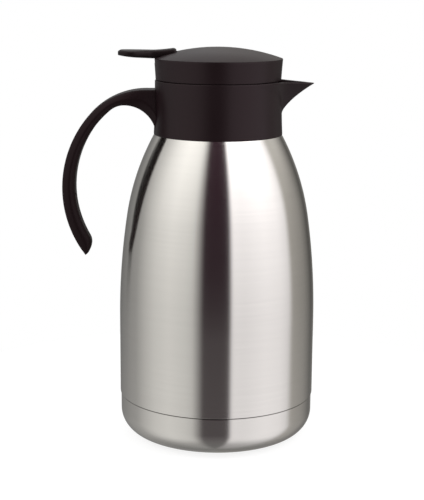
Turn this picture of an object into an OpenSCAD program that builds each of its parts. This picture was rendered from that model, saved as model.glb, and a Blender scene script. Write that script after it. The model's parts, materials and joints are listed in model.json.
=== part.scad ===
// Two-litre vacuum carafe with a press-to-pour screw lid.
// Millimetres. The origin is the centre of the base's underside on the flask axis, +Z is up,
// +X points along the spout and the handle is on the -X side.
// The flask is a double steel wall with a vacuum between. A moulded collar with the spout sits on its
// shoulder, held down by a threaded ring on the steel neck. The lid is a stopper that screws into that
// ring. Its thumb lever tips on a pin in the domed cover and lifts a sprung valve off its seat, so that
// the drink rises through the stopper, leaves by three windows and runs along the collar to the spout.

/* [Steel body] */
// Outer radius of the straight barrel
body_r = 68.3; // [57:0.1:82]
// Height where the barrel starts to curve in
barrel_top_z = 84; // [70:1:101]
// Radius of the long curve above the barrel
crown_r = 480; // [400:5:560]
// Angle swept by the long curve
crown_deg = 8.6; // [7:0.1:10]
// Radius of the shoulder curve
shoulder_r = 171.4; // [150:0.1:190]
// Thickness of the steel sheet
steel_t = 0.6; // [0.5:0.1:0.8]
// Vacuum space between the two walls
vacuum_gap = 5.5; // [4.5:0.1:6.6]
// Vacuum space left beside the neck
neck_slit = 0.4; // [0.3:0.1:0.6]
// Height of the seam above the base cup
seam_z = 29.4; // [26:0.1:35]

/* [Base] */
// How far the base cup is set in from the barrel
cup_step = 0.6; // [0.3:0.1:1]
// Rounding of the base cup's corner
cup_corner_r = 16.5; // [13:0.5:20]
// Width of the groove that shows as the seam
seam_groove = 0.4; // [0.2:0.1:0.8]
// Width of steel left between the foot pad and the start of the corner's rounding
pad_margin = 3; // [1.5:0.1:5]
// How far the foot pad stands below the steel
pad_proud = 0.6; // [0.4:0.1:1]
// Depth of the recess that holds the foot pad
pad_recess = 1.4; // [1:0.1:2]
// Radius of the evacuation hole in the closing plate
evac_hole_r = 1.5; // [1:0.1:2]
// Height of the closing plate's face above the base
plate_z = 17.5; // [17.5:0.1:19]
// Rise of the inner vessel's floor above the closing plate
floor_gap = 6.5; // [5:0.1:8]
// Corner radius of the inner vessel's floor
floor_corner_r = 9; // [6:0.5:12]
// Radius of the getter capsule
getter_r = 7; // [5:0.5:8]

/* [Collar and spout] */
// Radius of the collar where it sits on the shoulder
collar_r = 44.2; // [40:0.1:53]
// How much narrower the collar is at its top edge
collar_taper = 0.8; // [0.3:0.1:1.5]
// Height of the collar
collar_h = 37.4; // [34:0.1:45]
// Wall of the collar
collar_wall = 2.4; // [2:0.1:3]
// Radial room between the collar's outside and the steel neck
collar_room = 9.6; // [8.6:0.1:11]
// Reach of the spout's tip beyond the collar
spout_len = 22.8; // [19:0.1:27]
// Height of the spout, from where its keel leaves the collar
spout_h = 24.3; // [20:0.1:27]
// Half of the angle between the spout's sides
spout_deg = 31; // [26:1:36]
// Rounding of the spout's keel and tip
spout_keel_r = 1.3; // [0.8:0.1:2]
// Wall of the spout
spout_wall = 1.7; // [1.4:0.1:2.2]
// Drop of the spout's rim from the collar to the tip
spout_drop = 1.2; // [0:0.1:2]

/* [Threaded ring] */
// Depth of the pouring well below the collar's top
well_depth = 8.1; // [7:0.1:10]
// Thickness of the ring's flange
flange_t = 2; // [1.6:0.1:2.6]
// Depth of the sleeve inside the mouth, below the flange
throat_depth = 19; // [16:0.5:23]
// Depth of the sleeve outside the neck, below the flange
grip_depth = 13; // [10:0.5:14]
// Wall of the sleeve inside the mouth
throat_wall = 2.9; // [2.4:0.1:3.4]
// Wall of the sleeve outside the neck
grip_wall = 1.9; // [1.5:0.1:2.4]
// Thickness of the seal on the steel lip
neck_seal_t = 1.4; // [1:0.1:2]

/* [Handle] */
// Finger room between the barrel and the grip
finger_gap = 30.2; // [25:0.1:36]
// Thickness of the grip, seen from the side
grip_t = 8.85; // [8:0.05:11]
// Thickness near the handle's free end
grip_end_t = 9.9; // [8:0.1:12]
// Full width of the grip
grip_w = 24; // [20:0.5:28]
// Width at the free end as a fraction of the full width
end_width = 0.55; // [0.5:0.05:1]
// Place of the widest line, from 0 at the outer face to 1 at the inner one
ridge_place = 0.6; // [0.4:0.05:0.7]
// Width of the flat edges as a fraction of the full width
edge_ratio = 0.8; // [0.6:0.05:0.95]
// Drop of the handle's top below the collar's top
handle_drop = 6.3; // [3:0.1:8]
// Height from the widest point of the grip up to the handle's top
handle_rise = 69.3; // [58:0.1:83]
// Roundness of the outer bend, 1 for a single arc
outer_round = 0.893; // [0.7:0.001:0.95]
// Roundness of the inner bend, 1 for a single arc
inner_round = 0.425; // [0.35:0.005:0.7]
// Thickness of the handle over the crest of the finger room
crest_t = 10.7; // [9:0.1:14]
// Angle from upright at which the flare under the handle meets the collar
flare_deg = 6.2; // [3:0.2:15]
// Angle of the free end, below the widest point
handle_end_deg = 36; // [30:1:42]
// Depth of the cover strip let into the inner face
insert_t = 3; // [2:0.1:4]
// Width of the cover strip
insert_w = 10; // [8:0.5:11]

/* [Lid] */
// Gap that shows as the seam between lid and collar
lid_gap = 0.3; // [0.2:0.1:0.6]
// Height of the lid's side wall
lid_h = 14.5; // [12:0.1:18]
// How far the lid's lower edge is set in from the collar's top edge
lid_step = 0.5; // [0.2:0.1:1]
// How much wider the lid is at its rim
lid_flare = 1; // [0.5:0.1:2]
// Rise of the dome above the rim
dome_rise = 7.6; // [6:0.1:10]
// Wall of the lid and its cover
lid_wall = 2.2; // [1.8:0.1:2.8]

/* [Stopper] */
// Room left for the screw thread between stopper and throat
thread_room = 1.2; // [1:0.1:1.6]
// Lead of the thread for one turn
thread_lead = 16; // [12:0.5:20]
// Length of the stopper below the well
stopper_h = 24.5; // [21:0.5:29]
// Wall of the stopper
stopper_wall = 2.2; // [1.8:0.1:2.6]
// Thickness of the stopper's bottom plate
bottom_t = 2.5; // [2:0.1:3]
// Inner radius of the pouring tube in the stopper
tube_r = 14; // [12:0.5:16]
// Wall of the pouring tube
tube_wall = 1.8; // [1.5:0.1:2.2]
// Radius of the valve opening in the bottom plate
seat_r = 10; // [8:0.5:11]
// Width of a window in the pouring tube
window_w = 15; // [12:0.5:18]
// Height of the silicone ring that seals the stopper
seal_h = 3; // [2.5:0.1:4]

/* [Valve and lever] */
// Radius of the valve stem
stem_r = 2.5; // [2:0.1:3]
// Radius of the valve's sealing disc
disc_r = 11.2; // [10.8:0.1:12]
// Thickness of the sealing disc
disc_t = 1.5; // [1:0.1:2]
// Distance from the lever's pin to the stem
lever_arm = 33; // [30:0.1:36]
// Depth of the lever's pin below the lid's rim
pin_drop = 0.3; // [0:0.1:1]
// Radius of the lever's pin
pin_r = 1.25; // [1:0.05:1.5]
// Reach of the thumb end beyond the pin
thumb_reach = 35.5; // [30:0.5:42]
// Full width of the thumb end
thumb_w = 21; // [18:0.5:24]
// Full width of the lever at its pin
lever_w = 12.6; // [11:0.1:15]
// Thickness of the thumb end
thumb_t = 5.3; // [4:0.1:6]
// Rise of the lever's top above the lid's rim
lever_rise = 5.4; // [4:0.1:6]
// Further rise of the hump over the pin
hump_rise = 1.6; // [0:0.1:2]
// Angle that the lever tips
lever_deg = 11; // [9:0.5:12]
// Turns of the valve spring
spring_turns = 7; // [5:1:9]
// Mean radius of the valve spring
spring_r = 6; // [5.6:0.1:7]
// Radius of the spring wire
wire_r = 0.5; // [0.4:0.05:0.6]

/* [Clearances] */
// Between pieces that move past each other
slide_gap = 0.4; // [0.3:0.05:0.6]
// Between pieces that are fitted together
fit_gap = 0.15; // [0.1:0.05:0.3]
// Between the pin and its bore, and the stem and its guide
bearing_gap = 0.06; // [0.03:0.01:0.1]

/* [Hidden] */

steel = "#c6c4c0";
plastic = "#2e2322";
dark_plastic = "#221b1b";
silicone = "#b9b4ad";
foam = "#e4dfcf";

turn_fn = 96;
small_fn = 32;

// ---- Outline of the steel wall, as radius and height ----
crown_c = [body_r - crown_r, barrel_top_z];
crown_end = crown_c + crown_r * [cos(crown_deg), sin(crown_deg)];
shoulder_c = crown_end - shoulder_r * [cos(crown_deg), sin(crown_deg)];
collar_seat_z = shoulder_z(collar_r);
collar_top_r = collar_r - collar_taper;
lid_foot_r = collar_top_r - lid_step;
lid_rim_r = lid_foot_r + lid_flare;
// The shoulder turns in more tightly once it is hidden by the collar
tuck_r = collar_r - 1.3;
tuck_deg = acos((tuck_r - shoulder_c[0]) / shoulder_r);
turn_deg = 80;
neck_r = collar_r - collar_room;
neck_ease = 0.8;
outer_turn_r = turn_radius(0, neck_r);
outer_turn_c = turn_centre(0, outer_turn_r);
inner_neck_r = neck_r - steel_t - neck_slit;
mouth_r = inner_neck_r - steel_t;
inner_gap = steel_t + vacuum_gap;

// ---- Levels of the collar and the lid ----
collar_top_z = collar_seat_z + collar_h;
well_z = collar_top_z - well_depth;
web_z = well_z - flange_t;
lip_z = web_z - neck_seal_t;
web_t = 2.5;
collar_in_r = collar_top_r - collar_wall;
throat_out_r = mouth_r - fit_gap * 2;
throat_r = throat_out_r - throat_wall;
grip_in_r = neck_r + fit_gap;
grip_out_r = grip_in_r + grip_wall;
lid_z = collar_top_z + lid_gap;
rim_z = lid_z + lid_h;
dome_r = (pow(lid_rim_r, 2) + pow(dome_rise, 2)) / (2 * dome_rise);
dome_c = rim_z + dome_rise - dome_r;
lid_floor_z = lid_z + 0.6;
lid_floor_t = 2;
lid_floor_top_z = lid_floor_z + lid_floor_t;

// ---- Base ----
cup_r = body_r - cup_step;
cup_corner_c = [cup_r - cup_corner_r, pad_proud + cup_corner_r];
pad_r = cup_corner_c[0] - pad_margin;
skirt_r = cup_r - steel_t - 0.1;
cup_top_z = seam_z - seam_groove;
inner_floor_z = plate_z + floor_gap;
inner_wall_r = body_r - inner_gap;
weld_z = inner_floor_z + floor_corner_r + 5;

// ---- Stopper, from the well down ----
stopper_r = throat_r - thread_room;
stopper_in_r = stopper_r - stopper_wall;
stopper_foot_z = well_z - stopper_h;
seat_z = stopper_foot_z;
bottom_z = seat_z - bottom_t;
deck_t = 2.4;
deck_z = well_z - deck_t;
tube_out_r = tube_r + tube_wall;
screw_circle_r = (tube_out_r + stopper_in_r) / 2;
seal_r = throat_r - 0.3;
seal_groove_r = stopper_r - 1;
snap_r = stopper_in_r - 0.2;
snap_t = 2;
snap_h = 4;
window_h = lid_floor_z - well_z - 2.4;
pillar_r = 3.4;
lid_screw_r = 1.5;
lid_screw_head_r = 2.8;
lid_screw_head_t = 2.2;

// ---- Valve ----
valve_rest_gap = 0.1;
disc_z = seat_z + valve_rest_gap;
plate_t = 1.5;
plate_top_z = disc_z + disc_t + plate_t;
boss_r = 4.4;
boss_top_z = lid_floor_top_z + 3;
fork_z = boss_top_z + 1.6;
fork_t = 2.7;
// The prongs end just past the stem, and their tops fall away so that they roll under the cap
fork_reach = 3.5;
fork_ease = 0.8;
cap_z = fork_z + fork_t + 0.3;
cap_t = 2.8;
cap_r = 5.5;
valve_travel = lever_arm * lever_deg * PI / 180;

// ---- Lever ----
pin_x = -lever_arm;
pin_z = rim_z - pin_drop;
knuckle_r = 4.2;
slot_half = lever_w / 2 + slide_gap;
slot_end_x = pin_x + 4.8;
ear_t = 2.6;
lever_tip_x = pin_x - thumb_reach;
notch_depth = (lid_rim_r - lever_arm) * sin(lever_deg) + 1.2;

// ---- Handle, in the plane of X and Z ----
handle_top_z = collar_top_z - handle_drop;
handle_mid_z = handle_top_z - handle_rise;
grip_in_x = body_r + finger_gap;
grip_out_x = grip_in_x + grip_t;
// The outer bend ends level with the collar, a little before it
outer_top_x = collar_r + 4.9;
outer_e = grip_out_x - outer_top_x;
outer_b_r = outer_round * outer_e;
outer_a_r = long_radius(outer_e, handle_rise, outer_b_r);
outer_a = [-grip_out_x + outer_a_r, handle_mid_z];
outer_b = [-outer_top_x, handle_top_z - outer_b_r];
// The inner bend has its crest part of the way from the collar to the grip
crest_x = collar_r + 0.365 * (grip_in_x - collar_r);
crest_z = handle_top_z - crest_t;
inner_mid_z = handle_mid_z + 1.4;
inner_e = grip_in_x - crest_x;
inner_b_r = inner_round * inner_e;
inner_a_r = long_radius(inner_e, crest_z - inner_mid_z, inner_b_r);
inner_a = [-grip_in_x + inner_a_r, inner_mid_z];
inner_b = [-crest_x, crest_z - inner_b_r];
handle_root_x = -collar_r + 2;
flare_r = (crest_x + handle_root_x) / cos(flare_deg);
flare_c = [-crest_x, crest_z - flare_r];
end_start_deg = -(handle_end_deg - 7.3);
handle_screw_z = collar_seat_z + 19.7;
handle_screw_y = 6.5;
handle_screw_r = 1.75;
screw_pad_x = -(collar_in_r - 1.4);

// ---- Helpers ----
function arc(c, r, a0, a1, n, first = 0) = [for (i = [first:n])
    let (a = a0 + (a1 - a0) * i / n) c + r * [cos(a), sin(a)]];
function reversed(p) = [for (i = [len(p) - 1:-1:0]) p[i]];
function mix(a, b, t) = a + (b - a) * t;

// Height of the steel outside at a radius, on the shoulder and on the tighter turn inside the collar
function shoulder_z(r) = shoulder_c[1] + sqrt(pow(shoulder_r, 2) - pow(r - shoulder_c[0], 2));
function turn_z(r) = outer_turn_c[1] + sqrt(pow(outer_turn_r, 2) - pow(r - outer_turn_c[0], 2));
function steel_z(r) = r > tuck_r ? shoulder_z(r) : turn_z(r);

// The turn from shoulder to neck of a wall whose outside lies gap inside the steel's outside
function tuck_point(gap) = shoulder_c + (shoulder_r - gap) * [cos(tuck_deg), sin(tuck_deg)];
function turn_radius(gap, nr) = (tuck_point(gap)[0] - nr - neck_ease) / (cos(tuck_deg) - cos(turn_deg));
function turn_centre(gap, r) = tuck_point(gap) - r * [cos(tuck_deg), sin(tuck_deg)];

// One face of a wall from the barrel's top to the lip: gap is the wall's inset, skin the face's own
function wall_face(gap, skin, nr) = let (
    tr = turn_radius(gap, nr),
    tc = turn_centre(gap, tr),
    last = tc + (tr - skin) * [cos(turn_deg), sin(turn_deg)])
    concat(
        arc(crown_c, crown_r - gap - skin, 0, crown_deg, 8),
        arc(shoulder_c, shoulder_r - gap - skin, crown_deg, tuck_deg, 12, 1),
        arc(tc, tr - skin, tuck_deg, turn_deg, 6, 1),
        [[nr - skin, last[1] + neck_ease]]);

// Radius of the long arc that is upright at one end and runs into a smaller arc of radius rb, whose
// top lies e further in and h higher
function long_radius(e, h, rb) = (pow(h - rb, 2) + e * e - rb * rb) / (2 * (e - rb));
function joint_deg(a, b) = atan2(b[1] - a[1], a[0] - b[0]);
function bend(a, ra, b, rb, deg) = deg < joint_deg(a, b)
    ? a + ra * [-cos(deg), sin(deg)]
    : b + rb * [-cos(deg), sin(deg)];

// A ring turned about the flask axis, from its outline
module turned(outline) rotate_extrude($fn = turn_fn) polygon(outline);
module ring(r0, r1, z0, z1) turned([[r0, z0], [r1, z0], [r1, z1], [r0, z1]]);
module disc(r, z0, z1, fn = turn_fn) translate([0, 0, z0]) cylinder(r = r, h = z1 - z0, $fn = fn);

// A solid skin through rings of points, each with the same number of points
module loft(rings) {
    n = len(rings[0]);
    last = (len(rings) - 1) * n;
    polyhedron(
        points = [for (r = rings) each r],
        faces = concat(
            [[for (i = [n - 1:-1:0]) i]],
            [[for (i = [0:n - 1]) last + i]],
            [for (k = [0:len(rings) - 2], i = [0:n - 1]) let (j = (i + 1) % n)
                each [[k * n + i, k * n + j, (k + 1) * n + j], [k * n + i, (k + 1) * n + j, (k + 1) * n + i]]]));
}

// ---- Flask ----
module outer_shell() {
    edge_r = 0.4;
    step_z = seam_z + 0.05;
    face = concat(
        [[skirt_r, plate_z], [skirt_r, step_z]],
        arc([body_r - edge_r, step_z + edge_r], edge_r, -90, 0, 3),
        wall_face(0, 0, neck_r),
        [[neck_r, lip_z]]);
    back = concat(
        [[skirt_r - steel_t, plate_z], [skirt_r - steel_t, step_z + steel_t]],
        [[body_r - steel_t, step_z + steel_t + edge_r]],
        wall_face(0, steel_t, neck_r),
        [[neck_r - steel_t, lip_z - steel_t], [inner_neck_r, lip_z - steel_t], [inner_neck_r, lip_z]]);
    color(steel) turned(concat(face, reversed(back)));
}

module inner_shell() {
    face = concat([[inner_wall_r, weld_z]], wall_face(inner_gap, 0, inner_neck_r), [[inner_neck_r, lip_z]]);
    back = concat([[inner_wall_r - steel_t, weld_z]], wall_face(inner_gap, steel_t, inner_neck_r),
        [[mouth_r, lip_z]]);
    color(steel) turned(concat(face, reversed(back)));
}

module inner_floor() {
    c = [inner_wall_r - floor_corner_r, inner_floor_z + floor_corner_r];
    face = concat([[0, inner_floor_z]], arc(c, floor_corner_r, -90, 0, 8), [[inner_wall_r, weld_z]]);
    back = concat([[0, inner_floor_z + steel_t]], arc(c, floor_corner_r - steel_t, -90, 0, 8),
        [[inner_wall_r - steel_t, weld_z]]);
    color(steel) turned(concat(face, reversed(back)));
}

// Closing plate welded inside the skirt, with the hole through which the air is drawn out
module vacuum_plate() {
    r = skirt_r - steel_t;
    h = 4;
    color(steel) turned([
        [evac_hole_r, plate_z], [r, plate_z], [r, plate_z + h], [r - steel_t, plate_z + h],
        [r - steel_t, plate_z + steel_t], [evac_hole_r, plate_z + steel_t]]);
}

module getter() {
    color("#8d8a84") translate([26, 0, plate_z + steel_t]) cylinder(r = getter_r, h = 2.6, $fn = small_fn);
}

module evacuation_seal() {
    color("#8d8a84") {
        disc(6, plate_z - 1.2, plate_z, small_fn);
        disc(evac_hole_r - 0.05, plate_z - 0.4, plate_z + steel_t + 0.6, small_fn);
    }
}

module base_cup() {
    recess_z = pad_proud + pad_recess;
    recess_r = pad_r + 0.3;
    lip_r = 0.25;
    face = concat(
        [[0, recess_z], [recess_r, recess_z], [recess_r + 0.8, pad_proud]],
        arc(cup_corner_c, cup_corner_r, -90, 0, 12),
        [[cup_r, cup_top_z - lip_r], [cup_r - lip_r, cup_top_z]]);
    back = concat(
        [[0, recess_z + steel_t], [recess_r + 0.3, recess_z + steel_t], [recess_r + 1.1, pad_proud + steel_t]],
        arc(cup_corner_c, cup_corner_r - steel_t, -90, 0, 12),
        [[cup_r - steel_t, cup_top_z]]);
    color(steel) turned(concat(face, reversed(back)));
}

module foot_pad() {
    color("#1b1a1a") turned([[0, 0], [pad_r - 0.6, 0], [pad_r, 0.6], [pad_r, pad_proud + pad_recess],
        [0, pad_proud + pad_recess]]);
}

// ---- Collar and spout ----
// Outside of the collar, from its foot on the shoulder to its top edge
function collar_face(grow) = concat(
    [[collar_r - 0.5 + grow, steel_z(collar_r - 0.5) + 0.08]],
    [[collar_r - 0.12 + grow, collar_seat_z + 0.75]],
    [for (i = [0:8]) let (t = i / 8)
        [mix(collar_top_r, collar_r, pow(1 - t, 2.5)) + grow,
            mix(collar_seat_z + 1.3, collar_top_z - 0.5, t)]],
    [[collar_top_r - 0.15 + grow, collar_top_z - 0.15], [collar_top_r - 0.5 + grow, collar_top_z]]);

spout_z0 = collar_top_z - 0.15 - spout_h;
spout_x0 = collar_top_r - 0.8;

// Half width of the spout at x, in a level section with its tip at tip and its keel rounded to keel
function spout_half(x, tip, keel, flare) = let (
    d = max(tip - x, 0),
    c = keel / pow(tan(spout_deg), 2),
    f = max(spout_x0 + 6.4 - x, 0))
    tan(spout_deg) * sqrt(d * d + 2 * c * d) + flare * 0.1 * f * f * d / (d + 2);

// A level section of the spout at height z, closed inside the collar at x = back
function spout_ring(back, tip, keel, flare, z, drop) = let (
    n = 8,
    half = [for (i = [0:n]) let (x = tip - (tip - back) * pow(i / n, 2)) [x, spout_half(x, tip, keel, flare)]])
    [for (p = concat(reversed(half), [for (i = [1:n]) [half[i][0], -half[i][1]]]))
        [p[0], p[1], z - drop * (p[0] - back) / spout_len]];

// Keel: the tip moves out with the height to the power of one and a half
function spout_tip(t) = spout_x0 + spout_len * pow(max(t, 0), 1.5);

module spout_skin() {
    n = 14;
    loft([for (k = [0:n]) let (t = k / n)
        spout_ring(collar_in_r + 0.6, spout_tip(t), spout_keel_r, t, spout_z0 + spout_h * t, spout_drop * t)]);
}

// Hollow of the spout between two heights, kept a wall away from the skin
module spout_hollow(z0, z1, n) {
    loft([for (k = [0:n]) let (
        z = mix(z0, z1, k / n),
        t = (z - spout_z0) / spout_h,
        low = t - spout_wall / spout_h)
        spout_ring(collar_in_r - 3, spout_tip(low) - spout_wall * 0.7, spout_keel_r * 0.5, max(low, 0), z, 0)]);
}

module collar() {
    web_r = grip_out_r + 0.3;
    foot = [for (i = [0:4]) let (r = mix(collar_in_r, collar_r - 0.9, i / 4)) [r, steel_z(r) + 0.25]];
    outline = concat(
        collar_face(0),
        [[collar_in_r, collar_top_z], [collar_in_r, web_z], [web_r, web_z], [web_r, web_z - web_t],
            [collar_in_r, web_z - web_t]],
        foot);
    color(plastic) difference() {
        union() {
            turned(outline);
            spout_skin();
            // Flat pad that takes the heads of the handle's screws
            translate([screw_pad_x - 3, -handle_screw_y - 4, handle_screw_z - 4.5])
                cube([3, 2 * handle_screw_y + 8, web_z - web_t / 2 - handle_screw_z + 4.5]);
        }
        spout_hollow(well_z - 0.2, collar_top_z + 1.5, 8);
        spout_hollow(spout_z0 + 4, web_z - web_t + 0.3, 6);
        for (side = [-1, 1])
            translate([-collar_r - 1, side * handle_screw_y, handle_screw_z])
                rotate([0, 90, 0]) cylinder(r = handle_screw_r + 0.1, h = 8, $fn = small_fn);
    }
}

module threaded_ring() {
    low = web_z - throat_depth + flange_t;
    grip_low = web_z - grip_depth + flange_t;
    flange_r = collar_in_r - 0.3;
    color(dark_plastic) turned([
        [throat_r, low], [throat_out_r, low], [throat_out_r, web_z], [grip_in_r, web_z],
        [grip_in_r, grip_low], [grip_out_r, grip_low], [grip_out_r, web_z], [flange_r, web_z],
        [flange_r, well_z - 0.4], [flange_r - 0.4, well_z], [throat_r + 1, well_z], [throat_r, well_z - 1]]);
}

module neck_seal() {
    color(silicone) ring(mouth_r, neck_r, lip_z, web_z);
}

// ---- Handle ----
// Stations along the handle, each [outer point, inner point, width], from the free end to the collar
function handle_outer(deg) = bend(outer_a, outer_a_r, outer_b, outer_b_r, deg);
function handle_inner(deg) = bend(inner_a, inner_a_r, inner_b, inner_b_r, deg);
handle_end = [for (i = [0:5]) let (
    s = 1 - i / 6,
    deg = mix(end_start_deg, -handle_end_deg, s),
    o = handle_outer(deg),
    t = 2 + (grip_end_t - 2) * pow(1 - pow(s, 2.2), 0.7))
    [o, o + t * [cos(deg), -sin(deg)], end_width * grip_w * (1 - 0.3 * s * s)]];
// Width of the grip at a place along it, from the free end to the handle's top, against its full width
function taper(p) = 1 - (1 - end_width) * pow(max(0, 1 - p / 0.6), 1.3);
handle_grip = [for (i = [0:17]) let (
    deg = mix(end_start_deg, 90, i / 17),
    o = handle_outer(deg),
    end_in = o + grip_end_t * [cos(deg), -sin(deg)],
    near_end = max(0, 1 - i / 4))
    [o, mix(handle_inner(deg), end_in, near_end * near_end), grip_w * taper(i / 17)]];
handle_flare = [for (i = [1:6]) let (
    deg = mix(90, flare_deg, i / 6))
    [[mix(-outer_top_x, handle_root_x, i / 6), handle_top_z], flare_c + flare_r * [cos(deg), sin(deg)], grip_w]];
handle_stations = concat(handle_end, handle_grip, handle_flare);

// Section of the handle at a station: six corners, each eased by a short curve
function section_corner(a, v, b, ease, n) = let (
    p = v + ease * (a - v) / norm(a - v),
    q = v + ease * (b - v) / norm(b - v))
    [for (i = [0:n]) let (s = i / n) p * pow(1 - s, 2) + v * 2 * s * (1 - s) + q * s * s];
function handle_section(st, ease, n) = let (
    o = st[0],
    d = st[1] - o,
    t = norm(d),
    u = d / t,
    w = st[2] / 2,
    e = w * edge_ratio,
    ridge = min(ease, t * 0.3),
    m = ridge_place * t,
    corner = [[0, -e], [m, -w], [t, -e], [t, e], [m, w], [0, e]],
    flat = [for (i = [0:5]) each section_corner(corner[(i + 5) % 6], corner[i], corner[(i + 1) % 6], ridge, n)])
    [for (p = flat) [o[0] + u[0] * p[0], -p[1], o[1] + u[1] * p[0]]];

// Point on the inward line of a station, at a height above the handle's inner face
function above_inner(st, height) = st[1] + height * (st[1] - st[0]) / norm(st[1] - st[0]);
// The strip's sections lie half way between the handle's own
insert_from = 9;
insert_to = 24;
function half_way(i) = (handle_stations[i] + handle_stations[i + 1]) / 2;
// A straight-sided strip that follows the handle between two depths below its inner face
module handle_strip(from, to, deep, high, half) {
    rotate([90, 0, 0]) linear_extrude(2 * half, center = true) polygon(concat(
        [for (i = [from:to]) above_inner(half_way(i), -deep)],
        [for (i = [to:-1:from]) above_inner(half_way(i), high)]));
}

module handle() {
    color(plastic) difference() {
        loft([for (st = handle_stations) handle_section(st, 1.6, 3)]);
        handle_strip(insert_from, insert_to, insert_t + 0.15, 3, insert_w / 2 + fit_gap);
        handle_strip(insert_from + 1, insert_to - 1, grip_t - 3, 0, insert_w / 2 - 1.5);
        turned(concat([[0, collar_seat_z - 10], [collar_r + 0.05, collar_seat_z - 10]], collar_face(0.05),
            [[0, collar_top_z]]));
        for (side = [-1, 1])
            translate([-collar_r - 8.5, side * handle_screw_y, handle_screw_z])
                rotate([0, 90, 0]) cylinder(r = handle_screw_r + 0.05, h = 14, $fn = small_fn);
    }
}

module handle_insert() {
    color(dark_plastic) intersection() {
        handle_strip(insert_from, insert_to, insert_t, 0, insert_w / 2);
        translate([-200, -50, 0]) cube([200 - handle_insert_gap, 100, 400]);
    }
}
handle_insert_gap = collar_r + 1;

module handle_screws() {
    color("#9a9894") for (side = [-1, 1])
        translate([screw_pad_x, side * handle_screw_y, handle_screw_z]) rotate([0, 90, 0]) {
            cylinder(r = 3, h = 1.6, $fn = small_fn);
            translate([0, 0, -12]) cylinder(r = handle_screw_r, h = 12, $fn = small_fn);
        }
}

// ---- Lid ----
// Opening through which the lever passes, in the cover and in the lid's rim
module lever_slot(z0) {
    translate([-lid_rim_r - 5, -slot_half, z0]) cube([lid_rim_r + 5 + slot_end_x, 2 * slot_half, 40]);
}

module at_screws() {
    for (a = [60, 180, 300]) rotate([0, 0, a]) translate([screw_circle_r, 0, 0]) children();
}

module lid_body() {
    lip_out_r = collar_in_r - slide_gap;
    lip_in_r = lip_out_r - 2;
    wall_in_r = lid_foot_r - lid_wall;
    outline = concat(
        [[stem_r + bearing_gap, lid_floor_z - 3], [boss_r, lid_floor_z - 3], [boss_r, lid_floor_z],
            [lip_in_r, lid_floor_z], [lip_in_r, lid_floor_z - 3], [lip_out_r, lid_floor_z - 3],
            [lip_out_r, lid_z], [lid_foot_r - 0.5, lid_z]],
        arc([lid_foot_r - 0.5, lid_z + 0.5], 0.5, -90, 0, 3, 1),
        [for (i = [1:5]) let (t = i / 6) [mix(lid_foot_r, lid_rim_r, pow(t, 1.2)), mix(lid_z + 0.5, rim_z - 0.3, t)]],
        arc([lid_rim_r - 0.3, rim_z - 0.3], 0.3, 0, 90, 2),
        [[lid_rim_r - lid_wall, rim_z], [wall_in_r, lid_floor_top_z], [boss_r, lid_floor_top_z],
            [boss_r, boss_top_z], [stem_r + bearing_gap, boss_top_z]]);
    color(plastic) difference() {
        union() {
            turned(outline);
            at_screws() disc(pillar_r, well_z, lid_floor_z + 0.5, small_fn);
        }
        at_screws() disc(lid_screw_r + 0.05, well_z - 1, lid_floor_z - 1, small_fn);
        lever_slot(rim_z - notch_depth);
        // Seat of the stem's gasket
        disc(boss_r - 0.6, boss_top_z - 1.4, boss_top_z + 1, small_fn);
    }
}

module lid_cover() {
    ring_out_r = lid_rim_r - lid_wall - 0.5;
    ring_in_r = ring_out_r - 1.8;
    under_r = dome_r - lid_wall;
    rim_in_z = dome_c + sqrt(pow(under_r, 2) - pow(ring_in_r, 2));
    edge_deg = acos((lid_rim_r - 0.4) / dome_r);
    in_deg = acos(ring_in_r / under_r);
    outline = concat(
        arc([0, dome_c], dome_r, 90, edge_deg, 12),
        [[lid_rim_r - 0.1, rim_z + 0.08], [lid_rim_r - 0.35, rim_z], [ring_out_r, rim_z], [ring_out_r, rim_z - 3],
            [ring_in_r, rim_z - 3], [ring_in_r, rim_in_z]],
        arc([0, dome_c], under_r, in_deg, 90, 10, 1));
    ear_x = pin_x - 4.5;
    color(plastic) difference() {
        union() {
            turned(outline);
            // Ears under the dome that carry the pin on each side of the slot
            intersection() {
                for (side = [-1, 1])
                    translate([ear_x, side * (slot_half + ear_t / 2) - ear_t / 2, pin_z - 4])
                        cube([9, ear_t, 10]);
                translate([0, 0, dome_c]) sphere(r = dome_r - 0.5, $fn = turn_fn);
            }
        }
        lever_slot(rim_z - 10);
        translate([pin_x, -20, pin_z]) rotate([-90, 0, 0]) cylinder(r = pin_r, h = 40, $fn = small_fn);
    }
}

module lever_pin() {
    half = slot_half + ear_t;
    color("#9a9894") translate([pin_x, -half, pin_z]) rotate([-90, 0, 0]) cylinder(r = pin_r, h = 2 * half, $fn = small_fn);
}

module stopper_body() {
    outline = [
        [tube_r, stopper_foot_z], [tube_out_r, stopper_foot_z], [tube_out_r, deck_z], [stopper_in_r, deck_z],
        [stopper_in_r, stopper_foot_z], [seal_groove_r, stopper_foot_z],
        [seal_groove_r, stopper_foot_z + seal_h + 0.4], [stopper_r, stopper_foot_z + seal_h + 0.4],
        [stopper_r, well_z - 0.8], [stopper_r - 0.8, well_z], [tube_out_r, well_z],
        [tube_out_r, lid_floor_z], [tube_r, lid_floor_z]];
    color(plastic) difference() {
        turned(outline);
        for (a = [0, 120, 240]) rotate([0, 0, a])
            translate([tube_r - 5, -window_w / 2, well_z + 1]) cube([12, window_w, window_h]);
        at_screws() disc(lid_screw_r + 0.1, deck_z - 1, well_z + 1, small_fn);
    }
}

module stopper_insulation() {
    low = stopper_foot_z + 0.3;
    snap_in = snap_r - snap_t - 0.2;
    high = deck_z - lid_screw_head_t - 0.3;
    color(foam) turned([
        [tube_out_r + 0.2, low], [snap_in, low], [snap_in, low + snap_h], [stopper_in_r - 0.2, low + snap_h],
        [stopper_in_r - 0.2, high], [tube_out_r + 0.2, high]]);
}

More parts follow.
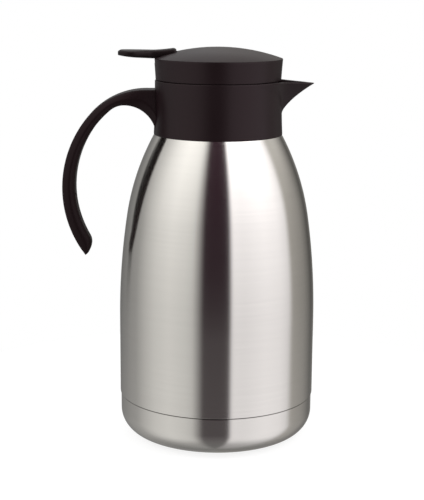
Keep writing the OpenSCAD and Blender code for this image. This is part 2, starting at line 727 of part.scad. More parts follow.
// Bottom plate with the valve's seat, and the ring that snaps into the stopper
module stopper_bottom() {
    color(dark_plastic) turned([
        [seat_r + 0.5, bottom_z], [stopper_r - 0.4, bottom_z], [stopper_r + 0.3, bottom_z + 0.7],
        [stopper_r + 0.3, seat_z], [snap_r, seat_z], [snap_r, seat_z + snap_h - 0.3],
        [snap_r - snap_t, seat_z + snap_h - 0.3], [snap_r - snap_t, seat_z], [seat_r, seat_z],
        [seat_r, bottom_z + 0.5]]);
}

module stopper_seal() {
    color(silicone) turned([
        [seal_groove_r + 0.05, stopper_foot_z + 0.1], [seal_r - 0.5, stopper_foot_z + 0.1],
        [seal_r, stopper_foot_z + 0.6], [seal_r, stopper_foot_z + seal_h - 0.3],
        [seal_r - 0.5, stopper_foot_z + seal_h + 0.2], [seal_groove_r + 0.05, stopper_foot_z + seal_h + 0.2]]);
}

module lid_screws() {
    color("#9a9894") at_screws() {
        disc(lid_screw_head_r, deck_z - lid_screw_head_t, deck_z, small_fn);
        disc(lid_screw_r, deck_z - 0.5, lid_floor_z - 1.5, small_fn);
    }
}

module stem_gasket() {
    color(silicone) ring(stem_r + bearing_gap, boss_r - 0.6, boss_top_z - 1.4, boss_top_z);
}

// ---- Valve ----
module valve_stem() {
    color("#d8d5cf") turned([
        [0, disc_z - 1.1], [3.4, disc_z - 1.1], [4, disc_z - 0.6], [4, disc_z], [2, disc_z],
        [2, disc_z + disc_t], [disc_r - 0.5, disc_z + disc_t], [disc_r - 0.5, plate_top_z - 0.4],
        [disc_r - 0.9, plate_top_z], [stem_r + 1.4, plate_top_z], [stem_r, plate_top_z + 2],
        [stem_r, cap_z + cap_t], [0, cap_z + cap_t]]);
}

module valve_seal() {
    color(silicone) ring(2, disc_r, disc_z, disc_z + disc_t);
}

module stem_cap() {
    color("#d8d5cf") turned([[stem_r, cap_z], [cap_r, cap_z], [cap_r, cap_z + cap_t - 0.6],
        [cap_r - 0.6, cap_z + cap_t], [stem_r, cap_z + cap_t]]);
}

// Helical spring between the valve's plate and the lid's floor, closed with a dead coil at each end
module valve_spring() {
    steps = 10;
    sides = 6;
    z0 = plate_top_z + wire_r + 0.05;
    z1 = lid_floor_z - wire_r - 0.05;
    dead = 2 * wire_r + 0.25;
    total = spring_turns + 2;
    function height(turn) = turn < 1 ? z0 + dead * turn
        : turn > total - 1 ? z1 - dead * (total - turn)
        : mix(z0 + dead, z1 - dead, (turn - 1) / spring_turns);
    color("#b5b3ae") loft([for (k = [0:total * steps]) let (turn = k / steps, a = 360 * turn)
        [for (i = [0:sides - 1]) let (b = 360 * i / sides, r = spring_r + wire_r * cos(b))
            [r * cos(a), r * sin(a), height(turn) + wire_r * sin(b)]]]);
}

// ---- Thumb lever ----
// Width, underside and top of the lever at a distance s back from its front end over the pin
lever_front_x = slot_end_x - slide_gap;
lever_len = lever_front_x - lever_tip_x;
function lever_half(s) = let (
    widen = max(0, min(1, (s - 15) / 15)),
    w = mix(lever_w, thumb_w, widen * widen * (3 - 2 * widen)) / 2,
    back = lever_len - s)
    back < 9 ? w * sqrt(max(0, 1 - pow(1 - back / 9, 2.4))) : w;
function lever_top(s) = rim_z + lever_rise + hump_rise * pow(max(0, 1 - s / 16), 1.5)
    - (s < 2.5 ? 2.5 - sqrt(2.5 * 2.5 - pow(2.5 - s, 2)) : 0)
    - 1.2 * pow(max(0, 1 - (lever_len - s) / 2.5), 2);
function lever_under(s) = rim_z + lever_rise - thumb_t
    - 0.5 * max(0, min(1, (26 - s) / 10))
    + 1.6 * pow(max(0, 1 - (lever_len - s) / 14), 1.5);
function lever_ring(s) = let (
    w = max(lever_half(s), 0.6),
    a = lever_under(s),
    b = lever_top(s),
    n = 20,
    p = 0.62)
    [for (i = [0:n - 1]) let (q = 360 * i / n, cy = cos(q), cz = sin(q))
        [lever_front_x - s, w * sign(cy) * pow(abs(cy), p), (a + b) / 2 + (b - a) / 2 * sign(cz) * pow(abs(cz), p)]];
lever_stops = concat([0, 0.5, 1.2, 2.5, 5, 8, 12], [for (i = [1:6]) 12 + 3 * i],
    [for (b = [6, 4, 2.5, 1.2, 0.4, 0.05]) lever_len - b]);

module thumb_lever() {
    arm_half = 5;
    fork_back = 3.4;
    // The arm's outline in X and Z, from the knuckle down to the fork
    arm = [
        [pin_x - 3.5, pin_z - 1], [pin_x, pin_z - knuckle_r], [pin_x + 5, fork_z + 1],
        [pin_x + 11, fork_z], [fork_reach, fork_z], [fork_reach, fork_z + fork_t - fork_ease],
        [0, fork_z + fork_t], [pin_x + 12, fork_z + fork_t],
        [pin_x + 6, fork_z + fork_t + 1.8], [lever_front_x, pin_z + 1], [lever_front_x, pin_z + 3],
        [pin_x - 3.5, pin_z + 3]];
    color(dark_plastic) difference() {
        union() {
            loft([for (s = lever_stops) lever_ring(s)]);
            translate([0, arm_half, 0]) rotate([90, 0, 0]) linear_extrude(height = 2 * arm_half) polygon(arm);
            translate([pin_x, -lever_w / 2 + 0.1, pin_z]) rotate([-90, 0, 0])
                cylinder(r = knuckle_r - 0.2, h = lever_w - 0.2, $fn = small_fn);
        }
        translate([pin_x, -20, pin_z]) rotate([-90, 0, 0]) cylinder(r = pin_r + bearing_gap, h = 40, $fn = small_fn);
        // Fork that straddles the stem
        translate([-fork_back, -(stem_r + slide_gap), fork_z - 1])
            cube([20, 2 * (stem_r + slide_gap), fork_t + 2]);
    }
}

outer_shell();
base_cup();
inner_shell();
inner_floor();
vacuum_plate();
getter();
evacuation_seal();
foot_pad();
collar();
threaded_ring();
neck_seal();
handle();
handle_insert();
handle_screws();
lid_body();
lid_cover();
stopper_body();
stopper_insulation();
stopper_bottom();
stopper_seal();
lid_screws();
stem_gasket();
lever_pin();
thumb_lever();
valve_stem();
valve_seal();
stem_cap();
valve_spring();
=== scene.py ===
"""Two-litre vacuum carafe.

A brushed steel flask, a dark moulded collar with its spout and handle, and a domed lid with a thumb lever.

Sizes are millimetres until a mesh is made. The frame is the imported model's: origin under the base's middle, +Z up,
+X along the spout, the handle on the -X side.
"""

import json
from math import acos, asin, atan2, copysign, cos, degrees, hypot, pi, radians, sin, sqrt, tan

import bpy
from mathutils import Matrix, Vector


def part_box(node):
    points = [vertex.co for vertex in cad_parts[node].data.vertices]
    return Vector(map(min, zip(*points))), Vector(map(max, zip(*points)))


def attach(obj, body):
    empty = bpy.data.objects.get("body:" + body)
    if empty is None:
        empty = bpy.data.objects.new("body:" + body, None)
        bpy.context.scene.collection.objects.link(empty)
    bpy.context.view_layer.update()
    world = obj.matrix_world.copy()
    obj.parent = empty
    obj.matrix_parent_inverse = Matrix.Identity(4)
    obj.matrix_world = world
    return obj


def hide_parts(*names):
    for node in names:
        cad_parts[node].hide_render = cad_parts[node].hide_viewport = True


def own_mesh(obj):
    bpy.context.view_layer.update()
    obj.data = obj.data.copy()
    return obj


MM = 0.001

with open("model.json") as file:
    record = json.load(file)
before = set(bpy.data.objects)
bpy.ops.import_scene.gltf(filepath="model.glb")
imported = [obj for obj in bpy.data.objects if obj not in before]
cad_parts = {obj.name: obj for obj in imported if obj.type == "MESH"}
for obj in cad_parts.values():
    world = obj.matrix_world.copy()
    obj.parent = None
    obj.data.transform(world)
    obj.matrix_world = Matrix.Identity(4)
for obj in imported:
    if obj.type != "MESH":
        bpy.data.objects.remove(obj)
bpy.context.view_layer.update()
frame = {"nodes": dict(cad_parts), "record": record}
NODES = frame["nodes"]


# ---------------------------------------------------------------- camera
def make_camera():
    """The photograph's view: a long lens, a little above the lid, looking down at the shoulder."""
    pitch, roll = 12.0, 0.39
    focal_px, frame_px = 1306.0, 500.0
    data = bpy.data.cameras.new("camera")
    data.sensor_fit = "AUTO"
    data.sensor_width = 36.0
    data.lens = focal_px / frame_px * data.sensor_width
    data.clip_end = 50.0
    camera = bpy.data.objects.new("camera", data)
    bpy.context.scene.collection.objects.link(camera)
    camera.location = Vector((-3.6, -896.3, 320.9)) * MM
    turn = Matrix.Rotation(radians(90 - pitch), 4, "X") @ Matrix.Rotation(radians(roll), 4, "Z")
    camera.rotation_euler = turn.to_euler()
    bpy.context.scene.camera = camera


make_camera()

# ---------------------------------------------------------------- sizes
# Steel wall
BODY_R, BARREL_TOP = 68.3, 84.0
CROWN_R, CROWN_DEG, SHOULDER_R = 480.0, 8.6, 171.4
SHEET, SEAM_Z, SEAM_W = 0.6, 29.4, 0.4
SKIRT_R, SKIRT_FOOT_Z = 66.9, 17.5
CUP_R, CUP_CORNER_R, PAD_PROUD = 67.7, 16.5, 0.6
PAD_R, PAD_TOP = 48.2, 2.0
NECK_R, INNER_NECK_R = 34.6, 33.6
TURN_DEG, NECK_EASE = 80.0, 0.8
# Collar
COLLAR_R, COLLAR_TAPER, COLLAR_H, COLLAR_WALL = 44.2, 0.8, 37.4, 2.4
WELL_DEPTH, FLANGE, WEB, WEB_IN_R = 8.1, 2.0, 2.5, 36.95
SPOUT_LEN, SPOUT_H, SPOUT_DEG, SPOUT_DROP = 22.8, 24.3, 31.0, 1.2
SPOUT_KEEL, SPOUT_WALL = 1.3, 1.7
# Handle
FINGER_GAP, GRIP_T, GRIP_END_T, GRIP_W, END_WIDTH, RIDGE = 30.2, 8.85, 9.9, 24.0, 0.55, 0.6
HANDLE_DROP, HANDLE_RISE, CREST_T = 6.3, 69.3, 10.7
# Lid
LID_GAP, LID_H, LID_STEP, LID_FLARE, DOME_RISE, LID_WALL = 0.3, 14.5, 0.5, 1.0, 7.6, 2.2
LEVER_ARM, LEVER_W, THUMB_W, THUMB_T, THUMB_REACH = 33.0, 12.6, 21.0, 5.3, 35.5
LEVER_RISE, HUMP_RISE = 5.4, 1.6
SLIDE_GAP, LID_FLOOR, STEM_BORE_R = 0.4, 2.0, 2.56
GUIDE_R, GUIDE_RISE, GUIDE_DROP, GASKET_R = 4.4, 3.0, 3.0, 3.8
PIN_R, PRESS_DEG, VALVE_TRAVEL = 1.25, 11, 6.335
FORK_T, FORK_W, FORK_GAP = 2.7, 10.0, 5.8
EAR_T, PILLAR_R, LID_SCREW_CIRCLE, LID_SCREW_DEGS = 2.6, 3.4, 21.1, (60, 180, 300)
# Stopper thread
STOPPER_R, THROAT_R, THREAD_DEPTH = 28.6, 29.8, 0.75
THREAD_LEAD, THREAD_LOW, THREAD_HIGH = 16.0, 224.5, 237.5


def polar(centre, r, deg):
    return (centre[0] + r * cos(radians(deg)), centre[1] + r * sin(radians(deg)))


def arc(centre, r, start, end, steps, first=0):
    return [polar(centre, r, start + (end - start) * i / steps) for i in range(first, steps + 1)]


def mix(a, b, t):
    return a + (b - a) * t


def smooth(t):
    t = min(1.0, max(0.0, t))
    return t * t * (3 - 2 * t)


CROWN_C = (BODY_R - CROWN_R, BARREL_TOP)
CROWN_END = polar(CROWN_C, CROWN_R, CROWN_DEG)
SHOULDER_C = (
    CROWN_END[0] - SHOULDER_R * cos(radians(CROWN_DEG)),
    CROWN_END[1] - SHOULDER_R * sin(radians(CROWN_DEG)),
)
TUCK_R = COLLAR_R - 1.3
TUCK_DEG = degrees(acos((TUCK_R - SHOULDER_C[0]) / SHOULDER_R))


def steel_z(r):
    """Height of the steel's outside at a radius under the collar."""
    if r > TUCK_R:
        return SHOULDER_C[1] + sqrt(SHOULDER_R**2 - (r - SHOULDER_C[0]) ** 2)
    turn_r, centre = neck_turn(0, NECK_R)
    return centre[1] + sqrt(max(0.0, turn_r**2 - (r - centre[0]) ** 2))


def neck_turn(gap, neck_r):
    """Radius and centre of the turn from the shoulder into the neck, for a wall set in by gap."""
    tuck = polar(SHOULDER_C, SHOULDER_R - gap, TUCK_DEG)
    r = (tuck[0] - neck_r - NECK_EASE) / (cos(radians(TUCK_DEG)) - cos(radians(TURN_DEG)))
    return r, polar(tuck, -r, TUCK_DEG)


def wall_face(gap, skin, neck_r):
    """One face of a steel wall from the top of the barrel to the lip."""
    turn_r, centre = neck_turn(gap, neck_r)
    last = polar(centre, turn_r - skin, TURN_DEG)
    return (
        arc(CROWN_C, CROWN_R - gap - skin, 0, CROWN_DEG, 24)
        + arc(SHOULDER_C, SHOULDER_R - gap - skin, CROWN_DEG, TUCK_DEG, 36, 1)
        + arc(centre, turn_r - skin, TUCK_DEG, TURN_DEG, 12, 1)
        + [(neck_r - skin, last[1] + NECK_EASE)]
    )


SEAT_Z = steel_z(COLLAR_R)
COLLAR_TOP_R = COLLAR_R - COLLAR_TAPER
COLLAR_TOP_Z = SEAT_Z + COLLAR_H
COLLAR_IN_R = COLLAR_TOP_R - COLLAR_WALL
WELL_Z = COLLAR_TOP_Z - WELL_DEPTH
WEB_Z = WELL_Z - FLANGE
LIP_Z = WEB_Z - 1.4
LID_Z = COLLAR_TOP_Z + LID_GAP
RIM_Z = LID_Z + LID_H
LID_FOOT_R = COLLAR_TOP_R - LID_STEP
LID_RIM_R = LID_FOOT_R + LID_FLARE
LID_FLOOR_Z = LID_Z + 0.6
DOME_R = (LID_RIM_R**2 + DOME_RISE**2) / (2 * DOME_RISE)
DOME_C = RIM_Z + DOME_RISE - DOME_R
SLOT_HALF = LEVER_W / 2 + SLIDE_GAP
PIN_X, PIN_Z = -LEVER_ARM, RIM_Z - 0.3
SLOT_END_X = PIN_X + 4.8
FORK_Z = LID_FLOOR_Z + LID_FLOOR + GUIDE_RISE + 1.6


# ---------------------------------------------------------------- meshes
def make_object(name, points, faces, sharp_deg=32):
    """A smooth-shaded object from millimetre points, with its faces turned outwards."""
    mesh = bpy.data.meshes.new(name)
    mesh.from_pydata([Vector(p) * MM for p in points], [], faces)
    mesh.validate()
    mesh.update()
    if signed_volume(mesh) < 0:
        mesh.flip_normals()
    mesh.shade_smooth()
    mesh.set_sharp_from_angle(angle=radians(sharp_deg))
    piece = bpy.data.objects.new(name, mesh)
    bpy.context.scene.collection.objects.link(piece)
    return piece


def signed_volume(mesh):
    mesh.calc_loop_triangles()
    corners = ([mesh.vertices[v].co for v in t.vertices] for t in mesh.loop_triangles)
    return sum(a.dot(b.cross(c)) for a, b, c in corners)


def ring_mesh(rings, closed):
    """A skin through rings: closed joins the last ring to the first, else both ends are capped."""
    n = len(rings[0])
    points = [p for ring in rings for p in ring]
    spans = len(rings) if closed else len(rings) - 1
    faces = []
    for k in range(spans):
        a, b = k * n, (k + 1) % len(rings) * n
        faces += [(a + i, a + (i + 1) % n, b + (i + 1) % n, b + i) for i in range(n)]
    if not closed:
        faces.append(tuple(reversed(range(n))))
        faces.append(tuple(range(len(points) - n, len(points))))
    return points, faces


def joined(*parts):
    """Several (points, faces) pairs as one."""
    points, faces = [], []
    for p, f in parts:
        faces += [tuple(i + len(points) for i in face) for face in f]
        points += p
    return points, faces


def eased(outline, r=0.4, steps=4, corner_deg=24):
    """A closed outline with every real corner rounded."""
    out = []
    for i, p in enumerate(outline):
        a, b = outline[i - 1], outline[(i + 1) % len(outline)]
        u, v = Vector((a[0] - p[0], a[1] - p[1])), Vector((b[0] - p[0], b[1] - p[1]))
        if u.length < 1e-6 or v.length < 1e-6:
            continue
        inside = u.angle(v)
        if pi - inside < radians(corner_deg):
            out.append(p)
            continue
        d = min(r / tan(inside / 2), 0.45 * u.length, 0.45 * v.length)
        q = Vector(p)
        start, end = q + u.normalized() * d, q + v.normalized() * d
        out += [tuple(point) for point in rounding(start, q, end, steps)]
    return out


def rounding(start, corner, end, steps):
    """Points of the parabola that rounds a corner between start and end."""
    places = [k / steps for k in range(steps + 1)]
    return [start * (1 - s) ** 2 + corner * 2 * s * (1 - s) + end * s * s for s in places]


def upright(outline, angle):
    """An outline of radius and height, stood in the plane at an angle round the flask's axis."""
    return [(r * cos(angle), r * sin(angle), z) for r, z in outline]


def circle(x, y, z, r, n):
    return [(x + r * cos(2 * pi * k / n), y + r * sin(2 * pi * k / n), z) for k in range(n)]


def turned(name, outline, segments=192):
    """A piece turned about the flask's axis from a closed outline of radius and height."""
    rings = [upright(outline, 2 * pi * k / segments) for k in range(segments)]
    on_axis = [i for i, corner in enumerate(outline) if corner[0] < 1e-6]
    points, faces = ring_mesh(rings, closed=True)
    if on_axis:
        n = len(outline)
        keep = {i: i for i in on_axis}
        faces = [tuple(keep.get(v % n, v) for v in face) for face in faces]
        faces = [tuple(dict.fromkeys(face)) for face in faces]
        faces = [face for face in faces if len(face) > 2]
        used = sorted({v for face in faces for v in face})
        place = {v: k for k, v in enumerate(used)}
        points = [points[v] for v in used]
        faces = [tuple(place[v] for v in face) for face in faces]
    return make_object(name, points, faces)


def placed(piece, body, slot, material, *replaced):
    """Gives a piece its material and its body, and hides the nodes that it stands for; slot is not used."""
    piece.data.materials.clear()
    piece.data.materials.append(material)
    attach(piece, body)
    if replaced:
        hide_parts(*replaced)


# ---------------------------------------------------------------- materials
class Value:
    """A number in a node tree. Arithmetic on it adds Math nodes."""

    def __init__(self, finish, socket):
        self.finish, self.socket = finish, socket

    def math(self, operation, *others, swap=False):
        values = [self, *others]
        if swap:
            values.reverse()
        return self.finish.node("ShaderNodeMath", {"operation": operation}, dict(enumerate(values)))

    def __add__(self, other):
        return self.math("ADD", other)

    def __sub__(self, other):
        return self.math("SUBTRACT", other)

    def __rsub__(self, other):
        return self.math("SUBTRACT", other, swap=True)

    def __mul__(self, other):
        return self.math("MULTIPLY", other)

    def __truediv__(self, other):
        return self.math("DIVIDE", other)

    def __neg__(self):
        return self.math("MULTIPLY", -1.0)

    __radd__, __rmul__ = __add__, __mul__

    def arctan2(self, other):
        return self.math("ARCTAN2", other)

    def maximum(self, other):
        return self.math("MAXIMUM", other)


class Finish:
    """A node tree being built, for a material or the world."""

    def __init__(self, owner):
        owner.use_nodes = True
        self.tree = owner.node_tree
        self.tree.nodes.clear()

    def node(self, kind, settings=None, inputs=None, out=0):
        made = self.tree.nodes.new(kind)
        for key, value in (settings or {}).items():
            if key == "stops":
                self.set_stops(made.color_ramp, value)
            else:
                setattr(made, key, value)
        for key, value in (inputs or {}).items():
            self.feed(made.inputs[key], value)
        return Value(self, made.outputs[out]) if made.outputs else None

    def feed(self, socket, value):
        if isinstance(value, Value):
            self.tree.links.new(value.socket, socket)
        else:
            socket.default_value = value

    def set_stops(self, ramp, stops):
        while len(ramp.elements) < len(stops):
            ramp.elements.new(0.5)
        for element, (position, level) in zip(ramp.elements, stops):
            element.position = position
            element.color = level if isinstance(level, tuple) else (level, level, level, 1)

    def coordinates(self, space):
        """The three coordinates in a space of the Texture Coordinate node."""
        split = self.node("ShaderNodeSeparateXYZ", {}, {0: self.node("ShaderNodeTexCoord", out=space)})
        return [Value(self, output) for output in split.socket.node.outputs]

    def ray(self, kind):
        return self.node("ShaderNodeLightPath", out=f"Is {kind} Ray")

    def noise(self, scale, detail=3.0, where=None, roughness=0.5):
        inputs = {"Vector": where or self.place(), "Scale": scale, "Detail": detail, "Roughness": roughness}
        return self.node("ShaderNodeTexNoise", {}, inputs)

    def place(self, stretch=(1, 1, 1)):
        """The point on the piece, in metres, scaled along each axis."""
        point = self.node("ShaderNodeTexCoord", out="Object")
        return self.node("ShaderNodeMapping", {}, {"Vector": point, "Scale": stretch})

    def tint(self, factor, low, high):
        low, high = (c if isinstance(c, Value) else (*c, 1) for c in (low, high))
        return self.node("ShaderNodeMix", {"data_type": "RGBA"}, {"Factor": factor, 6: low, 7: high}, out=2)

    def ramp(self, value, low, high):
        """0 below low, 1 above high, and eased between."""
        eased_in = {"interpolation_type": "SMOOTHSTEP"}
        return self.node("ShaderNodeMapRange", eased_in, {"Value": value, 1: low, 2: high})

    def bump(self, height, distance, strength=1.0):
        inputs = {"Height": height, "Distance": distance, "Strength": strength}
        return self.node("ShaderNodeBump", {}, inputs)

    def surface(self, **sockets):
        """The material's Principled shader, with its sockets named with underscores."""
        inputs = {name.replace("_", " "): value for name, value in sockets.items()}
        shader = self.node("ShaderNodeBsdfPrincipled", {}, inputs)
        self.node("ShaderNodeOutputMaterial", {}, {"Surface": shader})


def material(name):
    return bpy.data.materials.new(name)


def spread(value, low, high):
    """A noise value, which stays near one half, stretched to run from low to high."""
    return (value - 0.5) * (2 * (high - low)) + (low + high) / 2


def brushed_steel():
    """Sheet brushed round the flask: long fine scratches, uneven sheen, and painted shade along the seam."""
    made = material("brushed_steel")
    f = Finish(made)
    scratches = f.noise(1.0, 3.0, f.place((16, 16, 2600)), 0.6)
    strands = f.noise(1.0, 2.0, f.place((9, 9, 900)))
    cloud = f.noise(14.0, 2.0)
    # Base colour darkened to half in a narrow band at the seam: painted shade in the seam's groove.
    from_seam = (f.coordinates("Object")[2] - (SEAM_Z - SEAM_W / 2) * MM).math("ABSOLUTE")
    seam_shade_mask = f.ramp(from_seam, 0.0002, 0.0007) * 0.5 + 0.5
    bright = f.tint(scratches * 0.6 + strands * 0.4, (0.77, 0.743, 0.7), (0.86, 0.832, 0.785))
    f.surface(
        Base_Color=f.tint(seam_shade_mask, (0, 0, 0), bright),
        Metallic=1.0,
        Roughness=spread(scratches, 0.17, 0.21) + spread(cloud, -0.01, 0.01),
        Anisotropic=0.9,
        Anisotropic_Rotation=0.25,
        Normal=f.bump(scratches, 0.00001, 0.06),
    )
    return made


def drawn_steel(name, tone, roughness):
    """Plain drawn or turned metal, with a faint grain and blotches of sheen."""
    made = material(name)
    f = Finish(made)
    grain = f.noise(1.0, 3.0, f.place((60, 60, 1600)))
    blotch = f.noise(40.0, 2.0)
    dull, bright = (0.93, 0.92, 0.9), (1.0, 0.99, 0.97)
    f.surface(
        Base_Color=f.tint(grain, [tone * c for c in dull], [tone * c for c in bright]),
        Metallic=1.0,
        Roughness=spread(blotch, roughness - 0.06, roughness + 0.06),
        Normal=f.bump(grain, 0.00002, 0.3),
    )
    return made


def moulded_plastic(name, low, high, roughness, grain=0.00003, sheen=0.28):
    """Satin moulded plastic with a fine spark-eroded grain."""
    made = material(name)
    f = Finish(made)
    fine = f.noise(5200.0, 2.0)
    cloud = f.noise(32.0, 3.0)
    f.surface(
        Base_Color=f.tint(cloud, low, high),
        Roughness=spread(cloud, roughness - 0.03, roughness + 0.03) + spread(fine, -0.03, 0.03),
        Specular_IOR_Level=sheen,
        Specular_Tint=(1.0, 0.82, 0.85, 1),
        Normal=f.bump(fine, grain, 0.5),
    )
    return made


def soft_rubber(name, low, high, roughness=0.6):
    made = material(name)
    f = Finish(made)
    speck = f.noise(1800.0, 2.0)
    cloud = f.noise(60.0, 2.0)
    f.surface(
        Base_Color=f.tint(cloud, low, high),
        Roughness=spread(speck, roughness - 0.05, roughness + 0.05),
        Normal=f.bump(speck, 0.00003, 0.4),
    )
    return made


def cell_foam():
    made = material("cell_foam")
    f = Finish(made)
    cells = f.node("ShaderNodeTexVoronoi", {}, {"Vector": f.place(), "Scale": 900.0})
    f.surface(
        Base_Color=f.tint(cells, (0.55, 0.5, 0.4), (0.8, 0.76, 0.66)),
        Roughness=0.9,
        Normal=f.bump(cells, 0.0004, 0.8),
    )
    return made


STEEL = brushed_steel()
INNER_STEEL = drawn_steel("drawn_steel", 0.7, 0.32)
SCREW_STEEL = drawn_steel("screw_steel", 0.6, 0.28)
GETTER_METAL = drawn_steel("getter_metal", 0.4, 0.55)
BROWN_PLASTIC = moulded_plastic("brown_plastic", (0.0115, 0.0058, 0.007), (0.0135, 0.0072, 0.0085), 0.33)
DARK_PLASTIC = moulded_plastic("dark_plastic", (0.0095, 0.0065, 0.0066), (0.0115, 0.008, 0.0081), 0.3)
# The grip and the thumb lever: copies of the collar's brown and the lid's dark plastic, a little darker and duller,
# with a deeper grain; their darker colour is painted shade
SHADED_GRIP_PLASTIC = moulded_plastic(
    "shaded_grip_plastic", (0.0108, 0.0052, 0.006), (0.0127, 0.0064, 0.0073), 0.36, grain=0.00004, sheen=0.15
)
SHADED_LEVER_PLASTIC = moulded_plastic(
    "shaded_lever_plastic", (0.0092, 0.006, 0.006), (0.0112, 0.0075, 0.0075), 0.34, grain=0.00004, sheen=0.17
)
PALE_PLASTIC = moulded_plastic("pale_plastic", (0.62, 0.59, 0.54), (0.68, 0.65, 0.6), 0.3, 0.00001)
SILICONE = soft_rubber("silicone", (0.42, 0.4, 0.37), (0.5, 0.48, 0.45), 0.45)
PAD_RUBBER = soft_rubber("pad_rubber", (0.011, 0.011, 0.011), (0.017, 0.016, 0.016), 0.68)
FOAM = cell_foam()
BY_SLOT = {
    "steel": STEEL,
    "inner_steel": INNER_STEEL,
    "screw_steel": SCREW_STEEL,
    "getter_metal": GETTER_METAL,
    "brown_plastic": BROWN_PLASTIC,
    "dark_plastic": DARK_PLASTIC,
    "pale_plastic": PALE_PLASTIC,
    "silicone": SILICONE,
    "pad_rubber": PAD_RUBBER,
    "foam": FOAM,
}


# ---------------------------------------------------------------- flask
def make_steel_wall():
    """Outer wall from the skirt inside the base cup to the lip. Extra rings keep the long faces' normals level."""
    edge = 0.4
    step_z = SEAM_Z + 0.05
    face = (
        [(SKIRT_R, SKIRT_FOOT_Z), (SKIRT_R, step_z)]
        + arc((BODY_R - edge, step_z + edge), edge, -90, 0, 5)
        + [(BODY_R, z) for z in (step_z + edge + 0.3, 45, 60, 75, BARREL_TOP - 0.5)]
        + wall_face(0, 0, NECK_R)
        + [(NECK_R, LIP_Z)]
    )
    back = (
        [(SKIRT_R - SHEET, SKIRT_FOOT_Z), (SKIRT_R - SHEET, step_z + SHEET)]
        + [(BODY_R - SHEET, step_z + SHEET + edge)]
        + wall_face(0, SHEET, NECK_R)
        + [(NECK_R - SHEET, LIP_Z - SHEET), (INNER_NECK_R, LIP_Z - SHEET), (INNER_NECK_R, LIP_Z)]
    )
    placed(turned("steel_wall", face + back[::-1], 256), "flask", "steel", STEEL, "outer_shell")


def make_base_cup():
    top = SEAM_Z - SEAM_W
    rim = 0.25
    corner = (CUP_R - CUP_CORNER_R, PAD_PROUD + CUP_CORNER_R)
    recess = PAD_R + 0.3
    face = (
        [(0, PAD_TOP), (recess, PAD_TOP), (recess + 0.8, PAD_PROUD)]
        + arc(corner, CUP_CORNER_R, -90, 0, 28)
        + [(CUP_R, z) for z in (corner[1] + 0.3, 22, top - rim - 0.3, top - rim)]
        + arc((CUP_R - rim, top - rim), rim, 0, 90, 3, 1)
    )
    back = (
        [(0, PAD_TOP + SHEET), (recess + 0.3, PAD_TOP + SHEET), (recess + 1.1, PAD_PROUD + SHEET)]
        + arc(corner, CUP_CORNER_R - SHEET, -90, 0, 28)
        + [(CUP_R - SHEET, top)]
    )
    placed(turned("base_shell", face + back[::-1], 256), "flask", "steel", STEEL, "base_cup")


def make_foot_pad():
    """Rubber disc with shallow rings moulded into its underside."""
    groove, width = 0.5, 1.6
    outline = [(0, groove), (8, groove), (8, 0)]
    for r in (16, 24, 32, 40):
        outline += [(r, 0), (r, groove), (r + width, groove), (r + width, 0)]
    outline += [(PAD_R - 0.6, 0), (PAD_R, 0.6), (PAD_R, PAD_TOP), (0, PAD_TOP)]
    placed(turned("foot_disc", outline, 160), "flask", "pad_rubber", PAD_RUBBER, "foot_pad")


# Collar: closed outlines at angles round the axis, swollen out into the spout
SPOUT_Z0 = COLLAR_TOP_Z - 0.15 - SPOUT_H
SPOUT_X0 = COLLAR_TOP_R - 0.8
SPOUT_BACK = COLLAR_IN_R + 0.6


def spout_tip(t):
    return SPOUT_X0 + SPOUT_LEN * max(t, 0.0) ** 1.5


def spout_radius(angle, tip, keel):
    """Distance from the axis to the spout's V with its tip at tip, in the direction angle."""
    slope = tan(radians(SPOUT_DEG)) ** 2
    c = keel / slope
    k, s = cos(angle), sin(angle)
    if k <= 0.2:
        return 0.0
    qa = s * s - slope * k * k
    qb = 2 * slope * k * (tip + c)
    qc = -slope * tip * (tip + 2 * c)
    if abs(qa) < 1e-9:
        return -qc / qb
    return (-qb + sqrt(max(0.0, qb * qb - 4 * qa * qc))) / (2 * qa)


def swell(a, b, k):
    """The larger of two radii, with the meeting rounded over a width of about k."""
    h = max(k - abs(a - b), 0.0) / max(k, 1e-6)
    return max(a, b) + h * h * k / 4


def collar_skin_r(z):
    """The collar's outer radius away from the spout."""
    t = min(1.0, max(0.0, (z - SEAT_Z - 1.3) / (COLLAR_H - 1.8)))
    return mix(COLLAR_TOP_R, COLLAR_R, (1 - t) ** 2.5)


